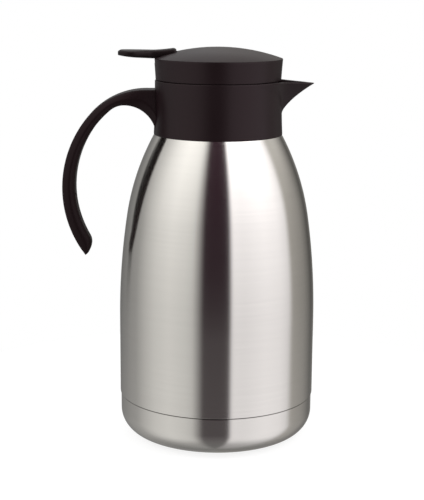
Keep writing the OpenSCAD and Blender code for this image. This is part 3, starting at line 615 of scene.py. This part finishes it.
def collar_outline(angle):
    """The collar's closed section at an angle from the spout; near fades the spout's flow towards the sides."""
    edge, foot = 0.45, 0.75
    near = 1.01 - smooth((abs(degrees(angle)) - 42) / 32)
    loop = [(COLLAR_R - foot, steel_z(COLLAR_R - foot) + 0.06)]
    loop += arc((COLLAR_R - foot, SEAT_Z + 1.1), foot, -62, 0, 4)
    loop += [(collar_skin_r(z), z) for z in (mix(SEAT_Z + 2.2, SPOUT_Z0 - 0.5, i / 8) for i in range(9))]
    steps = 30
    for i in range(steps + 1):
        t = i / steps
        z = SPOUT_Z0 + (SPOUT_H + 0.15 - edge) * t
        base = collar_skin_r(z)
        flow = 4.5 * smooth((abs(degrees(angle)) - 8) / 30)
        width = (0.4 + (5.5 + flow) * t + flow * 0.4) * near
        r = swell(base, spout_radius(angle, spout_tip(t), SPOUT_KEEL), width)
        out = smooth((r - base) / 2.5)
        fall = SPOUT_DROP * t * (r * cos(angle) - SPOUT_BACK) / SPOUT_LEN
        loop.append((r, z - out * (0.15 * t + fall)))
    r, z = loop[-1]
    loop += arc((r - edge, z), edge, 0, 90, 3, 1)
    top = loop[-1][1]
    inner = []
    for i in range(9):
        z = mix(top, WELL_Z - 0.2, i / 8)
        low = (z + 0.35 * (z > COLLAR_TOP_Z - 2) - SPOUT_Z0 - SPOUT_WALL) / SPOUT_H
        trough = spout_radius(angle, spout_tip(low) - SPOUT_WALL * 0.7, SPOUT_KEEL * 0.5)
        inner.append((swell(COLLAR_IN_R, trough, 3 * near), z))
    ri = min(inner[0][0], r - 2.2 * edge)
    loop += arc((ri + edge, top - edge), edge, 90, 180, 3)
    loop += inner[1:]
    floor = inner[-1][0]
    loop += [(max(COLLAR_IN_R + 0.03, floor - 0.4), WELL_Z - 0.2), (COLLAR_IN_R + 0.01, WELL_Z - 0.2)]
    loop += [(COLLAR_IN_R, WEB_Z), (WEB_IN_R, WEB_Z), (WEB_IN_R, WEB_Z - WEB), (COLLAR_IN_R, WEB_Z - WEB)]
    for i in range(6):
        z = mix(WEB_Z - WEB - 0.05, SPOUT_Z0 + 2.0, i / 5)
        low = (z - SPOUT_Z0 - SPOUT_WALL) / SPOUT_H
        wall = max(COLLAR_IN_R, spout_radius(angle, spout_tip(low) - SPOUT_WALL * 0.7, SPOUT_KEEL * 0.5))
        loop.append((pad_r(wall, angle, z), z))
    loop += [(COLLAR_IN_R, SPOUT_Z0 - 0.6), (COLLAR_IN_R, steel_z(COLLAR_IN_R) + 0.25)]
    loop += [(r, steel_z(r) + 0.25) for r in (COLLAR_IN_R + 0.8, COLLAR_IN_R + 1.6)]
    return loop


SCREW_Y, SCREW_Z, SCREW_PAD = 6.5, SEAT_Z + 19.7, 1.4


def pad_r(wall, angle, z):
    """The flat pad for the handle's screws, inside the collar at its back."""
    if cos(angle) < -0.9 and abs(wall * sin(angle)) < SCREW_Y + 4 and z > SCREW_Z - 4.5:
        return min(wall, (COLLAR_IN_R - SCREW_PAD) / -cos(angle))
    return wall


def collar_angles():
    """Angles round the collar, closest at the spout's tip."""
    half = [0.3 * i for i in range(11)] + [3 + 0.75 * i for i in range(1, 13)]
    half += [12 + 1.5 * i for i in range(1, 13)] + [30 + 2.5 * i for i in range(1, 60)]
    half = [radians(a) for a in half]
    return [-a for a in reversed(half[1:])] + half + [pi]


def make_collar():
    rings = [upright(collar_outline(a), a) for a in collar_angles()]
    piece = make_object("collar_moulding", *ring_mesh(rings, closed=True), sharp_deg=38)
    placed(piece, "flask", "brown_plastic", BROWN_PLASTIC, "collar")


# Handle: stations in the plane of X and Z
OUTER_TOP_X = COLLAR_R + 4.9
GRIP_IN_X = BODY_R + FINGER_GAP
GRIP_OUT_X = GRIP_IN_X + GRIP_T
HANDLE_TOP = COLLAR_TOP_Z - HANDLE_DROP
HANDLE_MID = HANDLE_TOP - HANDLE_RISE


def two_arcs(reach, top_x, mid_z, top_z, roundness):
    """A long arc that is upright at mid_z and meets a short arc that is level at top_z."""
    e, h = reach - top_x, top_z - mid_z
    rb = roundness * e
    ra = ((h - rb) ** 2 + e * e - rb * rb) / (2 * (e - rb))
    return (-reach + ra, mid_z), ra, (-top_x, top_z - rb), rb


CREST_X = COLLAR_R + 0.365 * (GRIP_IN_X - COLLAR_R)
CREST_Z = HANDLE_TOP - CREST_T
OUTER_BEND = two_arcs(GRIP_OUT_X, OUTER_TOP_X, HANDLE_MID, HANDLE_TOP, 0.893)
INNER_BEND = two_arcs(GRIP_IN_X, CREST_X, HANDLE_MID + 1.4, CREST_Z, 0.425)
FLARE_DEG = 6.2
FLARE_R = (CREST_X - COLLAR_R + 2) / cos(radians(FLARE_DEG))
FLARE_C = (-CREST_X, CREST_Z - FLARE_R)
END_START, END_STOP = -28.7, -36.0


def bend(arcs, deg):
    """The point of two_arcs whose normal leans deg from level."""
    a, ra, b, rb = arcs
    switch = degrees(atan2(b[1] - a[1], a[0] - b[0]))
    centre, r = (a, ra) if deg < switch else (b, rb)
    return Vector(centre) - r * inward(deg)


def inward(deg):
    return Vector((cos(radians(deg)), -sin(radians(deg))))


def handle_station(p):
    """Outer point, inner point and width: below 0 the rounded free end, 0 to 1 the grip, above 1 the flare."""
    if p < 0:
        s = -p
        deg = mix(END_START, END_STOP, s)
        o = bend(OUTER_BEND, deg)
        t = 2 + (GRIP_END_T - 2) * (1 - s**2.2) ** 0.7
        return o, o + inward(deg) * t, END_WIDTH * GRIP_W * (1 - 0.3 * s * s)
    if p <= 1:
        deg = mix(END_START, 90, p)
        o = bend(OUTER_BEND, deg)
        end_in = o + inward(deg) * GRIP_END_T
        near_end = max(0.0, 1 - p * 17 / 4) ** 2
        taper = 1 - (1 - END_WIDTH) * max(0.0, 1 - p / 0.6) ** 1.3
        return o, bend(INNER_BEND, deg).lerp(end_in, near_end), GRIP_W * taper
    f = p - 1
    deg = mix(90, FLARE_DEG, f)
    top = Vector((mix(-OUTER_TOP_X, -COLLAR_R + 2, f), HANDLE_TOP))
    return top, Vector(polar(FLARE_C, FLARE_R, deg)), GRIP_W


STRIP_T, STRIP_W, FIT = 3.0, 10.0, 0.15
STRIP_FROM, STRIP_TO = 0.206, 1.26


def handle_ring(p, recess):
    """The section at p: six eased sides, with the strip's groove let into the inner one."""
    o, i, w = handle_station(p)
    t = (i - o).length
    u = (i - o) / t
    half, edge = w / 2, w / 2 * 0.8
    ease = min(1.7, t * 0.3)
    ridge = t * RIDGE
    corners = [(0, -edge), (ridge, -half), (t, -edge), (t, edge), (ridge, half), (0, edge)]
    flat = []
    for k, v in enumerate(corners):
        v = Vector(v)
        a, b = Vector(corners[k - 1]), Vector(corners[(k + 1) % 6])
        start = v + (a - v).normalized() * ease
        end = v + (b - v).normalized() * ease
        flat += rounding(start, v, end, 5)
        if k == 2:
            g = min(STRIP_W / 2 + FIT, edge * 0.7)
            groove = [(t, -g), (t - recess, -g + 0.01), (t - recess, g - 0.01), (t, g)]
            flat += [Vector(corner) for corner in groove]
    ring = []
    for q in flat:
        x, z = o[0] + u[0] * q[0], o[1] + u[1] * q[0]
        root = collar_skin_r(z) + 0.02
        if x > -COLLAR_R - 3 and abs(q[1]) < root:
            x = min(x, -sqrt(root**2 - q[1] ** 2))
        ring.append((x, q[1], z))
    return ring


def strip_ring(p):
    """The cover strip's section at p, flush with the grip's inner side."""
    o, i, _ = handle_station(p)
    u = (i - o).normalized()
    half = STRIP_W / 2
    outline = eased([(-STRIP_T, -half), (0, -half), (0, half), (-STRIP_T, half)], 0.35, 3)
    return [(i[0] + u[0] * d, y, i[1] + u[1] * d) for d, y in outline]


def make_handle():
    step = 0.0004
    end = [-sin(pi / 2 * k / 14) for k in range(14, 0, -1)]
    grip = [k / 80 for k in range(81)]
    flare = [1 + k / 24 for k in range(1, 25)]
    groove_ends = [STRIP_FROM, STRIP_FROM + step, STRIP_TO, STRIP_TO + step]
    stations = sorted(set(end + grip + flare + groove_ends))
    grooved = [STRIP_FROM + step / 2 < p < STRIP_TO + step / 2 for p in stations]
    rings = [handle_ring(p, (STRIP_T + FIT) * cut) for p, cut in zip(stations, grooved)]
    piece = make_object("handle_grip", *ring_mesh(rings, closed=False), sharp_deg=40)
    placed(piece, "flask", "brown_plastic", SHADED_GRIP_PLASTIC, "handle")
    inside = [p for p in stations if STRIP_FROM + 0.002 < p < STRIP_TO - 0.002]
    strip = make_object("handle_strip", *ring_mesh([strip_ring(p) for p in inside], closed=False))
    placed(strip, "flask", "dark_plastic", SHADED_LEVER_PLASTIC, "handle_insert")


# ---------------------------------------------------------------- lid
NOTCH = (LID_RIM_R - LEVER_ARM) * sin(radians(PRESS_DEG)) + 1.2


def lid_outline(cut):
    """The lid's section; cut lowers the top of its side wall under the lever."""
    top = RIM_Z - cut
    edge, foot = 0.45, 0.5
    floor, floor_top = LID_FLOOR_Z, LID_FLOOR_Z + LID_FLOOR
    wall_in = LID_FOOT_R - LID_WALL
    lip = COLLAR_IN_R - SLIDE_GAP
    loop = arc((LID_FOOT_R - foot, LID_Z + foot), foot, -90, 0, 5)
    for i in range(1, 13):
        z = mix(LID_Z + foot, top - edge, i / 12)
        loop.append((mix(LID_FOOT_R, LID_RIM_R, ((z - LID_Z) / LID_H) ** 1.2), z))
    r = loop[-1][0]
    loop += arc((r - edge, top - edge), edge, 0, 90, 4, 1)
    loop += [(r - LID_WALL + 0.3, top), (r - LID_WALL, top - 0.3)]
    loop += arc((wall_in - 1, floor_top + 1), 1.0, 0, -90, 4)
    guide_top, guide_foot = floor_top + GUIDE_RISE, floor - GUIDE_DROP
    loop += [(GUIDE_R + 0.6, floor_top), (GUIDE_R, floor_top + 0.6), (GUIDE_R, guide_top - 0.3)]
    loop += [(GUIDE_R - 0.3, guide_top), (GASKET_R, guide_top), (GASKET_R, floor_top + 1.6)]
    loop += [(STEM_BORE_R, floor_top + 1.6), (STEM_BORE_R, guide_foot), (GUIDE_R, guide_foot), (GUIDE_R, floor)]
    loop += [(lip - 2, floor), (lip - 2, floor - 2.7), (lip - 1.7, floor - 3), (lip - 0.3, floor - 3)]
    return loop + [(lip, floor - 2.7), (lip, LID_Z)]


def make_lid_body():
    """The lid's wall and floor with the notch under the lever, and the pillars of the lid's screws."""
    notch, step, slack = asin(SLOT_HALF / LID_FOOT_R), 0.0006, 0.0005
    sides = [pi - notch - step, pi - notch + step, pi + notch - step, pi + notch + step]
    low, high = sides[0] + slack, sides[3] - slack
    angles = sorted([2 * pi * k / 200 for k in range(200)] + sides)
    rings = [upright(lid_outline(NOTCH if low < a < high else 0.0), a) for a in angles]
    piece = make_object("lid_shell", *ring_mesh(rings, closed=True))
    placed(piece, "lid", "brown_plastic", BROWN_PLASTIC, "lid_body")
    head_z = LID_FLOOR_Z + 0.2
    pillar = eased([(0, WELL_Z), (PILLAR_R, WELL_Z), (PILLAR_R, head_z), (0, head_z)], 0.3)
    posts = []
    for deg in LID_SCREW_DEGS:
        place = polar((0, 0), LID_SCREW_CIRCLE, deg)
        rings = [circle(*place, z, r, 32) for r, z in pillar[1:-1] if r > 0.5]
        posts.append(ring_mesh(rings, closed=False))
    placed(make_object("lid_pillars", *joined(*posts)), "lid", "brown_plastic", BROWN_PLASTIC)


def dome_z(x, y, drop=0.0):
    """Height of the dome, or of a face that lies drop inside it."""
    return DOME_C + sqrt((DOME_R - drop) ** 2 - x * x - y * y)


def make_lid_cover():
    """The dome, its slot for the lever and its rolled slot edges, as one sheet given thickness."""
    edge = 0.55
    near = [0.0, 0.06, 0.16, 0.32, edge]
    corner_r = hypot(SLOT_END_X, SLOT_HALF)
    columns = 120
    points, top_faces = [], []

    def add(x, y, off):
        drop = edge - sqrt(max(0.0, edge**2 - (edge - off) ** 2)) if off < edge else 0.0
        points.append((x, y, dome_z(x, y) - drop * 0.8))
        return len(points) - 1

    radii = [corner_r + (LID_RIM_R - 0.15 - corner_r) * k / 14 for k in range(15)]
    grid = []
    for rho in radii:
        row = [(asin((SLOT_HALF + d) / rho), d) for d in near]
        start = row[-1][0]
        row += [(mix(start, 2 * pi - start, k / columns), edge) for k in range(1, columns)]
        row += [(2 * pi - a, d) for a, d in reversed(row[: len(near)])]
        grid.append([add(-rho * cos(a), rho * sin(a), d) for a, d in row])
    for lower, upper in zip(grid, grid[1:]):
        top_faces += [(lower[i], upper[i], upper[i + 1], lower[i + 1]) for i in range(len(lower) - 1)]
    # Inside the slot's end, rings shrink towards the axis
    span = grid[0]
    ends = [(SLOT_END_X, y) for y in (-SLOT_HALF * c for c in (0.92, 0.6, 0.2, -0.2, -0.6, -0.92))]
    border = [(points[i][0], points[i][1]) for i in span] + ends
    first = span + [add(x, y, 0.0) for x, y in ends]
    previous = first
    for s in [1 - d / -SLOT_END_X for d in near[1:]] + [0.9, 0.8, 0.65, 0.5, 0.35, 0.2, 0.08]:
        ring = []
        for x, y in border:
            px, py = x * s, y * s
            beside = abs(py) < SLOT_HALF + 1.5 and px < 0
            off = max(abs(px - SLOT_END_X), abs(py) - SLOT_HALF) if beside else edge
            ring.append(add(px, py, min(edge, max(0.0, off))))
        n = len(ring)
        top_faces += [(previous[i], previous[(i + 1) % n], ring[(i + 1) % n], ring[i]) for i in range(n)]
        previous = ring
    top_faces.append(tuple(previous))
    count = len(points)
    under = [(x, y, min(dome_z(x, y, LID_WALL), z - 0.05)) for x, y, z in points]
    for i, (x, y, z) in enumerate(points):
        if hypot(x, y) > LID_RIM_R - 2.4:
            under[i] = (x, y, RIM_Z + 0.02)
    points += under
    faces = top_faces + [tuple(v + count for v in reversed(face)) for face in top_faces]
    edges = dict.fromkeys(pair for face in top_faces for pair in zip(face, face[1:] + face[:1]))
    faces += [(b, a, a + count, b + count) for a, b in edges if (b, a) not in edges]
    cover = make_object("lid_dome", points, faces, sharp_deg=40)
    placed(cover, "lid", "brown_plastic", BROWN_PLASTIC, "lid_cover")
    make_cover_ring()


def make_cover_ring():
    """The ring under the dome that locates it in the lid, and the ears that hold the lever's pin."""
    outer, inner = LID_RIM_R - LID_WALL - 0.5, LID_RIM_R - LID_WALL - 2.3
    foot, head = RIM_Z - 3, RIM_Z + 0.02
    outline = eased([(inner, foot), (outer, foot), (outer, head), (inner, head)], 0.3, 2)
    start = asin(SLOT_HALF / inner)
    turns = [mix(start, 2 * pi - start, k / 120) for k in range(121)]
    parts = [ring_mesh([[(-r * cos(a), r * sin(a), z) for r, z in outline] for a in turns], closed=False)]
    half = 4.5
    ear = [(PIN_X - half, PIN_Z + 1.5), (PIN_X - half, PIN_Z - 2.5)]
    ear += arc((PIN_X, PIN_Z - 1), 3.2, 200, 340, 8)
    ear += [(PIN_X + half, PIN_Z - 2.5), (PIN_X + half, PIN_Z + 2.6)]
    for side in (-1, 1):
        faces_y = (side * SLOT_HALF, side * (SLOT_HALF + EAR_T))
        rings = [[(x, y, min(z, dome_z(x, y, 1.0))) for x, z in ear] for y in faces_y]
        parts.append(ring_mesh(rings, closed=False))
    placed(make_object("cover_ring", *joined(*parts)), "lid", "brown_plastic", BROWN_PLASTIC)


# Thumb lever
LEVER_FRONT = SLOT_END_X - SLIDE_GAP
LEVER_LEN = LEVER_FRONT - (PIN_X - THUMB_REACH)
LEVER_TIP = 9


def lever_half(s):
    """Half the lever's width at a distance s from its front edge."""
    w = mix(LEVER_W, THUMB_W, smooth((s - 15) / 15)) / 2
    back = LEVER_LEN - s
    if back < LEVER_TIP:
        return w * sqrt(max(0.0, 1 - (1 - back / LEVER_TIP) ** 2.4))
    return w


def lever_top(s):
    z = RIM_Z + LEVER_RISE + HUMP_RISE * max(0.0, 1 - s / 16) ** 1.5
    if s < 2.5:
        z -= 2.5 - sqrt(2.5**2 - (2.5 - s) ** 2)
    return z - 1.2 * max(0.0, 1 - (LEVER_LEN - s) / 2.5) ** 2


def lever_under(s):
    z = RIM_Z + LEVER_RISE - THUMB_T - 0.5 * min(1.0, max(0.0, (26 - s) / 10))
    return z + 1.6 * max(0.0, 1 - (LEVER_LEN - s) / 14) ** 1.5


def lever_ring(s, n=40, square=0.62):
    """The lever's squared-off oval section at s."""
    w = max(lever_half(s), 0.5)
    a, b = lever_under(s), lever_top(s)
    ring = []
    for i in range(n):
        q = 2 * pi * i / n
        y, z = (copysign(abs(c) ** square, c) for c in (cos(q), sin(q)))
        ring.append((LEVER_FRONT - s, w * y, (a + b) / 2 + (b - a) / 2 * z))
    return ring


def make_lever():
    """The paddle over the lid, and under it the arm with its fork round the stem."""
    stops = [0, 0.15, 0.4, 0.8, 1.3, 1.9, 2.6] + [3.4 + k for k in range(26)]
    stops = [s for s in stops if s < LEVER_LEN - LEVER_TIP - 0.5]
    stops += [LEVER_LEN - LEVER_TIP * (1 - sin(pi / 2 * k / 12)) for k in range(12)] + [LEVER_LEN - 0.03]
    pad = ring_mesh([lever_ring(s) for s in stops], closed=False)
    piece = make_object("lever_paddle", *pad, sharp_deg=50)
    placed(piece, "lever", "dark_plastic", SHADED_LEVER_PLASTIC, "thumb_lever")
    fork_top = FORK_Z + FORK_T
    arm = [
        (PIN_X - 3.5, PIN_Z - 1), (PIN_X, PIN_Z - 4.2), (PIN_X + 5, FORK_Z + 1), (PIN_X + 11, FORK_Z),
        (-3.4, FORK_Z), (-3.4, fork_top), (PIN_X + 12, fork_top), (PIN_X + 6, fork_top + 1.8),
        (LEVER_FRONT, PIN_Z + 1), (LEVER_FRONT, PIN_Z + 3), (PIN_X - 3.5, PIN_Z + 3),
    ]
    prong = [(-4.2, FORK_Z), (3.5, FORK_Z), (3.5, fork_top - 0.8), (0, fork_top), (-4.2, fork_top)]
    arm, prong = eased(arm, 0.5, 3), eased(prong, 0.3, 3)
    half, gap = FORK_W / 2, FORK_GAP / 2
    parts = [
        ring_mesh([[(x, y, z) for x, z in outline] for y in faces_y], closed=False)
        for outline, faces_y in ((arm, (-half, half)), (prong, (-gap, -half)), (prong, (gap, half)))
    ]
    placed(make_object("lever_arm", *joined(*parts)), "lever", "dark_plastic", SHADED_LEVER_PLASTIC)


# ---------------------------------------------------------------- threads, spring, screws and seals
def thread_start(base_r, crest_r, start_deg):
    """One start of the stopper's right-hand thread, easing in and out of the wall at its ends."""
    rings = []
    foot, crest = 0.95, 0.4
    root = base_r - copysign(0.1, crest_r - base_r)
    for k in range(61):
        t = k / 60
        z = mix(THREAD_LOW, THREAD_HIGH, t)
        a = radians(start_deg) + 2 * pi * (z - THREAD_LOW) / THREAD_LEAD
        r = mix(base_r, crest_r, smooth(min(t, 1 - t) * 9))
        section = [(root, z - foot), (r, z - crest), (r, z + crest), (root, z + foot)]
        rings.append(upright(eased(section, 0.15, 2), a))
    return ring_mesh(rings, closed=False)


def make_threads():
    stopper = [thread_start(STOPPER_R, STOPPER_R + THREAD_DEPTH, d) for d in (0, 120, 240)]
    placed(make_object("stopper_thread", *joined(*stopper)), "lid", "dark_plastic", DARK_PLASTIC)
    ring = [thread_start(THROAT_R, THROAT_R - THREAD_DEPTH, d) for d in (60, 180, 300)]
    placed(make_object("ring_thread", *joined(*ring)), "flask", "dark_plastic", DARK_PLASTIC)


SPRING_R, WIRE_R, SPRING_TURNS = 6.0, 0.5, 7
SPRING_LOW, SPRING_HIGH = LID_FLOOR_Z - 29.85, LID_FLOOR_Z - 0.55


def make_spring():
    """Helical valve spring with a closed coil at each end."""
    dead, total, steps = 2 * WIRE_R + 0.25, SPRING_TURNS + 2, 28
    rings = []
    for k in range(total * steps + 1):
        turn = k / steps
        a = 2 * pi * turn
        if turn < 1:
            z = SPRING_LOW + dead * turn
        elif turn > total - 1:
            z = SPRING_HIGH - dead * (total - turn)
        else:
            z = mix(SPRING_LOW + dead, SPRING_HIGH - dead, (turn - 1) / SPRING_TURNS)
        rings.append(upright(arc((SPRING_R, z), WIRE_R, 0, 330, 11), a))
    spring = make_object("valve_coil", *ring_mesh(rings, closed=False))
    placed(spring, "lid", "screw_steel", SCREW_STEEL, "valve_spring")
    rest = SPRING_HIGH - SPRING_LOW + 2 * WIRE_R
    fixed_end = (0, 0, (SPRING_HIGH + WIRE_R) * MM)
    1 - VALVE_TRAVEL / rest
    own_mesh(spring)


def along(start, direction, profile, n=36, star=0.0):
    """Rings round a short axis from start; each stop is (distance, radius, starred)."""
    w = Vector(direction)
    u = w.orthogonal().normalized()
    v = w.cross(u)
    rings = []
    for d, r, starred in profile:
        ring = []
        for i in range(n):
            b = 2 * pi * i / n
            q = r * (1 + star * starred * cos(6 * b))
            ring.append(tuple(Vector(start) + w * d + u * q * cos(b) + v * q * sin(b)))
        rings.append(ring)
    return ring_mesh(rings, closed=False)


def screw(seat, direction, head_r, head_t, shank_r, length):
    """A pan-head screw with a six-lobed socket; seat is where the head meets the plastic."""
    pitch = 0.5
    head = [
        (0.45, 0.1 / head_r, 0), (0.45, 0.38, 1), (0.97, 0.42, 1), (1, 0.6, 0), (0.9, 0.85, 0),
        (0.6, 0.98, 0), (0.35, 1, 0), (0, 1, 0),
    ]
    profile = [(-head_t * t, head_r * r, starred) for t, r, starred in head] + [(0, shank_r * 0.85, 0)]
    turns = range(int(length / pitch) - 1)
    profile += [(pitch * (k + 0.5), shank_r * (1 if k % 2 else 0.82), 0) for k in turns]
    profile += [(length - 0.4, shank_r * 0.8, 0), (length, shank_r * 0.45, 0)]
    return along(seat, direction, profile, star=0.16)


def make_screws():
    pad_x = -COLLAR_IN_R + SCREW_PAD
    handle = [screw((pad_x, y, SCREW_Z), (-1, 0, 0), 3.0, 1.6, 1.75, 12) for y in (-SCREW_Y, SCREW_Y)]
    piece = make_object("handle_fixings", *joined(*handle))
    placed(piece, "flask", "screw_steel", SCREW_STEEL, "handle_screws")
    low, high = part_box("lid_screws")
    head_t = 2.2
    deck = low[2] / MM + head_t
    seats = [(*polar((0, 0), LID_SCREW_CIRCLE, deg), deck) for deg in LID_SCREW_DEGS]
    lid = [screw(seat, (0, 0, 1), 2.8, head_t, 1.5, high[2] / MM - deck) for seat in seats]
    placed(make_object("lid_fixings", *joined(*lid)), "lid", "screw_steel", SCREW_STEEL, "lid_screws")


def make_pin():
    """Lever pin: chamfered at both ends and knurled at one."""
    half = SLOT_HALF + EAR_T
    knurl, end = PIN_R - 0.06, 0.9
    stops = [(0, end, 0), (0.3, PIN_R, 0), (0.6, PIN_R, 0), (0.7, knurl, 1), (2.3, knurl, 1), (2.4, PIN_R, 0)]
    stops += [(2 * half - 0.3, PIN_R, 0), (2 * half, end, 0)]
    pin = along((PIN_X, -half, PIN_Z), (0, 1, 0), stops, n=72, star=0.04)
    placed(make_object("lever_axle", *pin), "lid", "screw_steel", SCREW_STEEL, "lever_pin")


def make_getter():
    """Getter: a pressed tray with the sintered disc sunk in it."""
    low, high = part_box("getter")
    x, r = (low[0] + high[0]) / 2 / MM, (high[0] - low[0]) / 2 / MM
    z, t = low[2] / MM, (high[2] - low[2]) / MM
    stops = [(0, r - 0.5), (0.15, r - 0.12), (0.5, r), (t - 0.2, r), (t, r - 0.2), (t, r - 0.5)]
    stops += [(t - 0.5, r - 0.7), (t - 0.5, r - 1.2), (t - 0.3, r - 1.5), (t - 0.3, 0.2)]
    tray = along((x, 0, z), (0, 0, 1), [(*stop, 0) for stop in stops], n=64)
    placed(make_object("getter_tray", *tray), "flask", "getter_metal", GETTER_METAL, "getter")


def make_seal(name, node, body, inner):
    """A moulded ring with a raised sealing bead on each face."""
    low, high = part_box(node)
    a, b, r = low[2] / MM, high[2] / MM, high[0] / MM
    m, e = (inner + r) / 2, min(0.25, (b - a) / 6)
    outline = [(inner, a + 1.5 * e), (inner + e, a + e), (m - 2 * e, a + e), (m - e, a)]
    outline += [(m + e, a), (m + 2 * e, a + e), (r - e, a + e), (r, a + 2 * e)]
    outline += [(r, b - 2 * e), (r - e, b - e), (m + 2 * e, b - e), (m + e, b)]
    outline += [(m - e, b), (m - 2 * e, b - e), (inner + e, b - e), (inner, b - 1.5 * e)]
    placed(turned(name, eased(outline, 0.12, 2), 128), body, "silicone", SILICONE, node)


make_steel_wall()
make_base_cup()
make_foot_pad()
make_collar()
make_handle()
make_lid_body()
make_lid_cover()
make_lever()
make_threads()
make_spring()
make_screws()
make_pin()
make_getter()
make_seal("mouth_seal", "neck_seal", "flask", 33.0)
make_seal("valve_disc", "valve_seal", "valve", 2.0)
make_seal("stem_wiper", "stem_gasket", "lid", STEM_BORE_R)


# ---------------------------------------------------------------- carried-over pieces
def finish_cad_nodes():
    slots = {part["node"]: part["material_slot"] for part in frame["record"]["subparts"]}
    for name, node in NODES.items():
        node.data.materials.clear()
        node.data.materials.append(BY_SLOT[slots[name]])


finish_cad_nodes()


# ---------------------------------------------------------------- studio
def make_floor():
    """A small round floor that keeps the object's shadow and shows as white."""
    n, r = 96, 260
    points = [(0, 0, 0)] + circle(0, 0, 0, r, n)
    faces = [(0, k + 1, (k + 1) % n + 1) for k in range(n)]
    mesh = bpy.data.meshes.new("floor")
    mesh.from_pydata([Vector(p) * MM for p in points], [], faces)
    floor = bpy.data.objects.new("floor", mesh)
    bpy.context.scene.collection.objects.link(floor)
    white = material("floor_white")
    f = Finish(white)
    diffuse = f.node("ShaderNodeBsdfDiffuse", {}, {"Color": (0.3, 0.3, 0.3, 1)})
    plain = f.ray("Camera") + f.ray("Transmission")
    glow = f.node("ShaderNodeEmission", {}, {"Color": (1, 1, 1, 1), "Strength": plain * 0.8})
    both = f.node("ShaderNodeAddShader", {}, {0: diffuse, 1: glow})
    f.node("ShaderNodeOutputMaterial", {}, {"Surface": both})
    floor.data.materials.append(white)
    floor.visible_glossy = False


# What the steel sees round it: degrees from the camera's side towards the spout, and a level. The room is dim
# behind the object, a tall box stands on the left, a brighter one on the right, and the gap between them is dark.
STUDIO = [
    (-180, 0.25), (-160, 0.13), (-130, 0.22), (-110, 0.27), (-95, 0.41), (-78, 0.54), (-58, 0.61), (-38, 0.54),
    (-29, 0.47), (-16, 0.0), (14, 0.0), (18.5, 0.74), (32, 0.72), (60, 0.82), (80, 0.79), (93, 0.68), (100.5, 0.3),
    (125, 0.22), (150, 0.06), (180, 0.25),
]
LEFT_TINT, GAP_TINT = (1.0, 1.0, 0.99), (0.014, 0.005, 0.009)
RIGHT_TINT, WALL_TINT = (1.0, 0.985, 1.02), (1.0, 0.97, 0.92)
# A narrow black flag behind the handle, seen from the upper body
FLAG_TURN, FLAG_HALF, FLAG_SOFT, FLAG_LOW = -129, 3.5, 2.5, -0.16


def studio_tone(turn, level):
    """Colour of the ring at a turn: a level of 0 is the dark gap."""
    if level == 0:
        return (*GAP_TINT, 1)
    tint = LEFT_TINT if turn < -13 else RIGHT_TINT if turn < 98 else WALL_TINT
    return (*(level * t for t in tint), 1)


def make_world():
    """Plain white to the camera, an even light on the object, and the studio to glossy rays."""
    world = bpy.data.worlds.new("studio")
    bpy.context.scene.world = world
    f = Finish(world)
    x, y, z = f.coordinates("Generated")
    turn = x.arctan2(-y) / (2 * pi) + 0.5
    stops = [((a + 180) / 360, studio_tone(a, level)) for a, level in STUDIO]
    ring = f.node("ShaderNodeValToRGB", {"stops": stops}, {"Fac": turn})
    climb = (z + 0.27).maximum(0.0) * 1.15 + 1.03
    from_flag = (turn - (FLAG_TURN + 180) / 360).math("ABSOLUTE")
    beside = f.ramp(from_flag, FLAG_HALF / 360, (FLAG_HALF + FLAG_SOFT) / 360)
    below = 1 - f.ramp(z, FLAG_LOW, FLAG_LOW + 0.05)
    flag = beside.maximum(below) * 0.97 + 0.03
    table = 1 - f.ramp(-z, 0.62, 0.97) * 0.7
    ceiling = f.ramp(z, 0.1, 0.5) * f.ramp(y, 0.1, 0.5) * 0.24
    below_glow = f.ramp(-z, 0.17, 0.4) * 0.1 + f.ramp(-z, 0.5, 0.9) * 0.05
    studio = climb * flag * table
    plain = f.ray("Camera") + f.ray("Transmission")
    glossy = f.ray("Glossy")
    even = plain + (1 - plain - glossy).maximum(0.0) * 0.75 + glossy * (ceiling + below_glow)
    white = f.node("ShaderNodeBackground", {}, {"Color": (1, 1, 1, 1), "Strength": even})
    boxes = f.node("ShaderNodeBackground", {}, {"Color": ring, "Strength": glossy * studio})
    both = f.node("ShaderNodeAddShader", {}, {0: white, 1: boxes})
    f.node("ShaderNodeOutputWorld", {}, {"Surface": both})


def make_lamp(name, place, target, size, power):
    """A square soft lamp that only matt surfaces see."""
    data = bpy.data.lights.new(name, "AREA")
    data.shape = "RECTANGLE"
    data.size, data.size_y = size, size
    data.energy = power
    lamp = bpy.data.objects.new(name, data)
    bpy.context.scene.collection.objects.link(lamp)
    lamp.location = Vector(place)
    lamp.rotation_euler = (Vector(target) - Vector(place)).to_track_quat("-Z", "Y").to_euler()
    lamp.visible_camera = False
    lamp.visible_glossy = False


make_floor()
make_world()
make_lamp("key", (1.1, -0.3, 1.2), (0, 0, 0.15), 0.8, 6.0)
make_lamp("fill", (-1.1, -0.3, 1.2), (0, 0, 0.15), 0.8, 5.0)

bpy.context.scene.view_settings.view_transform = "Standard"
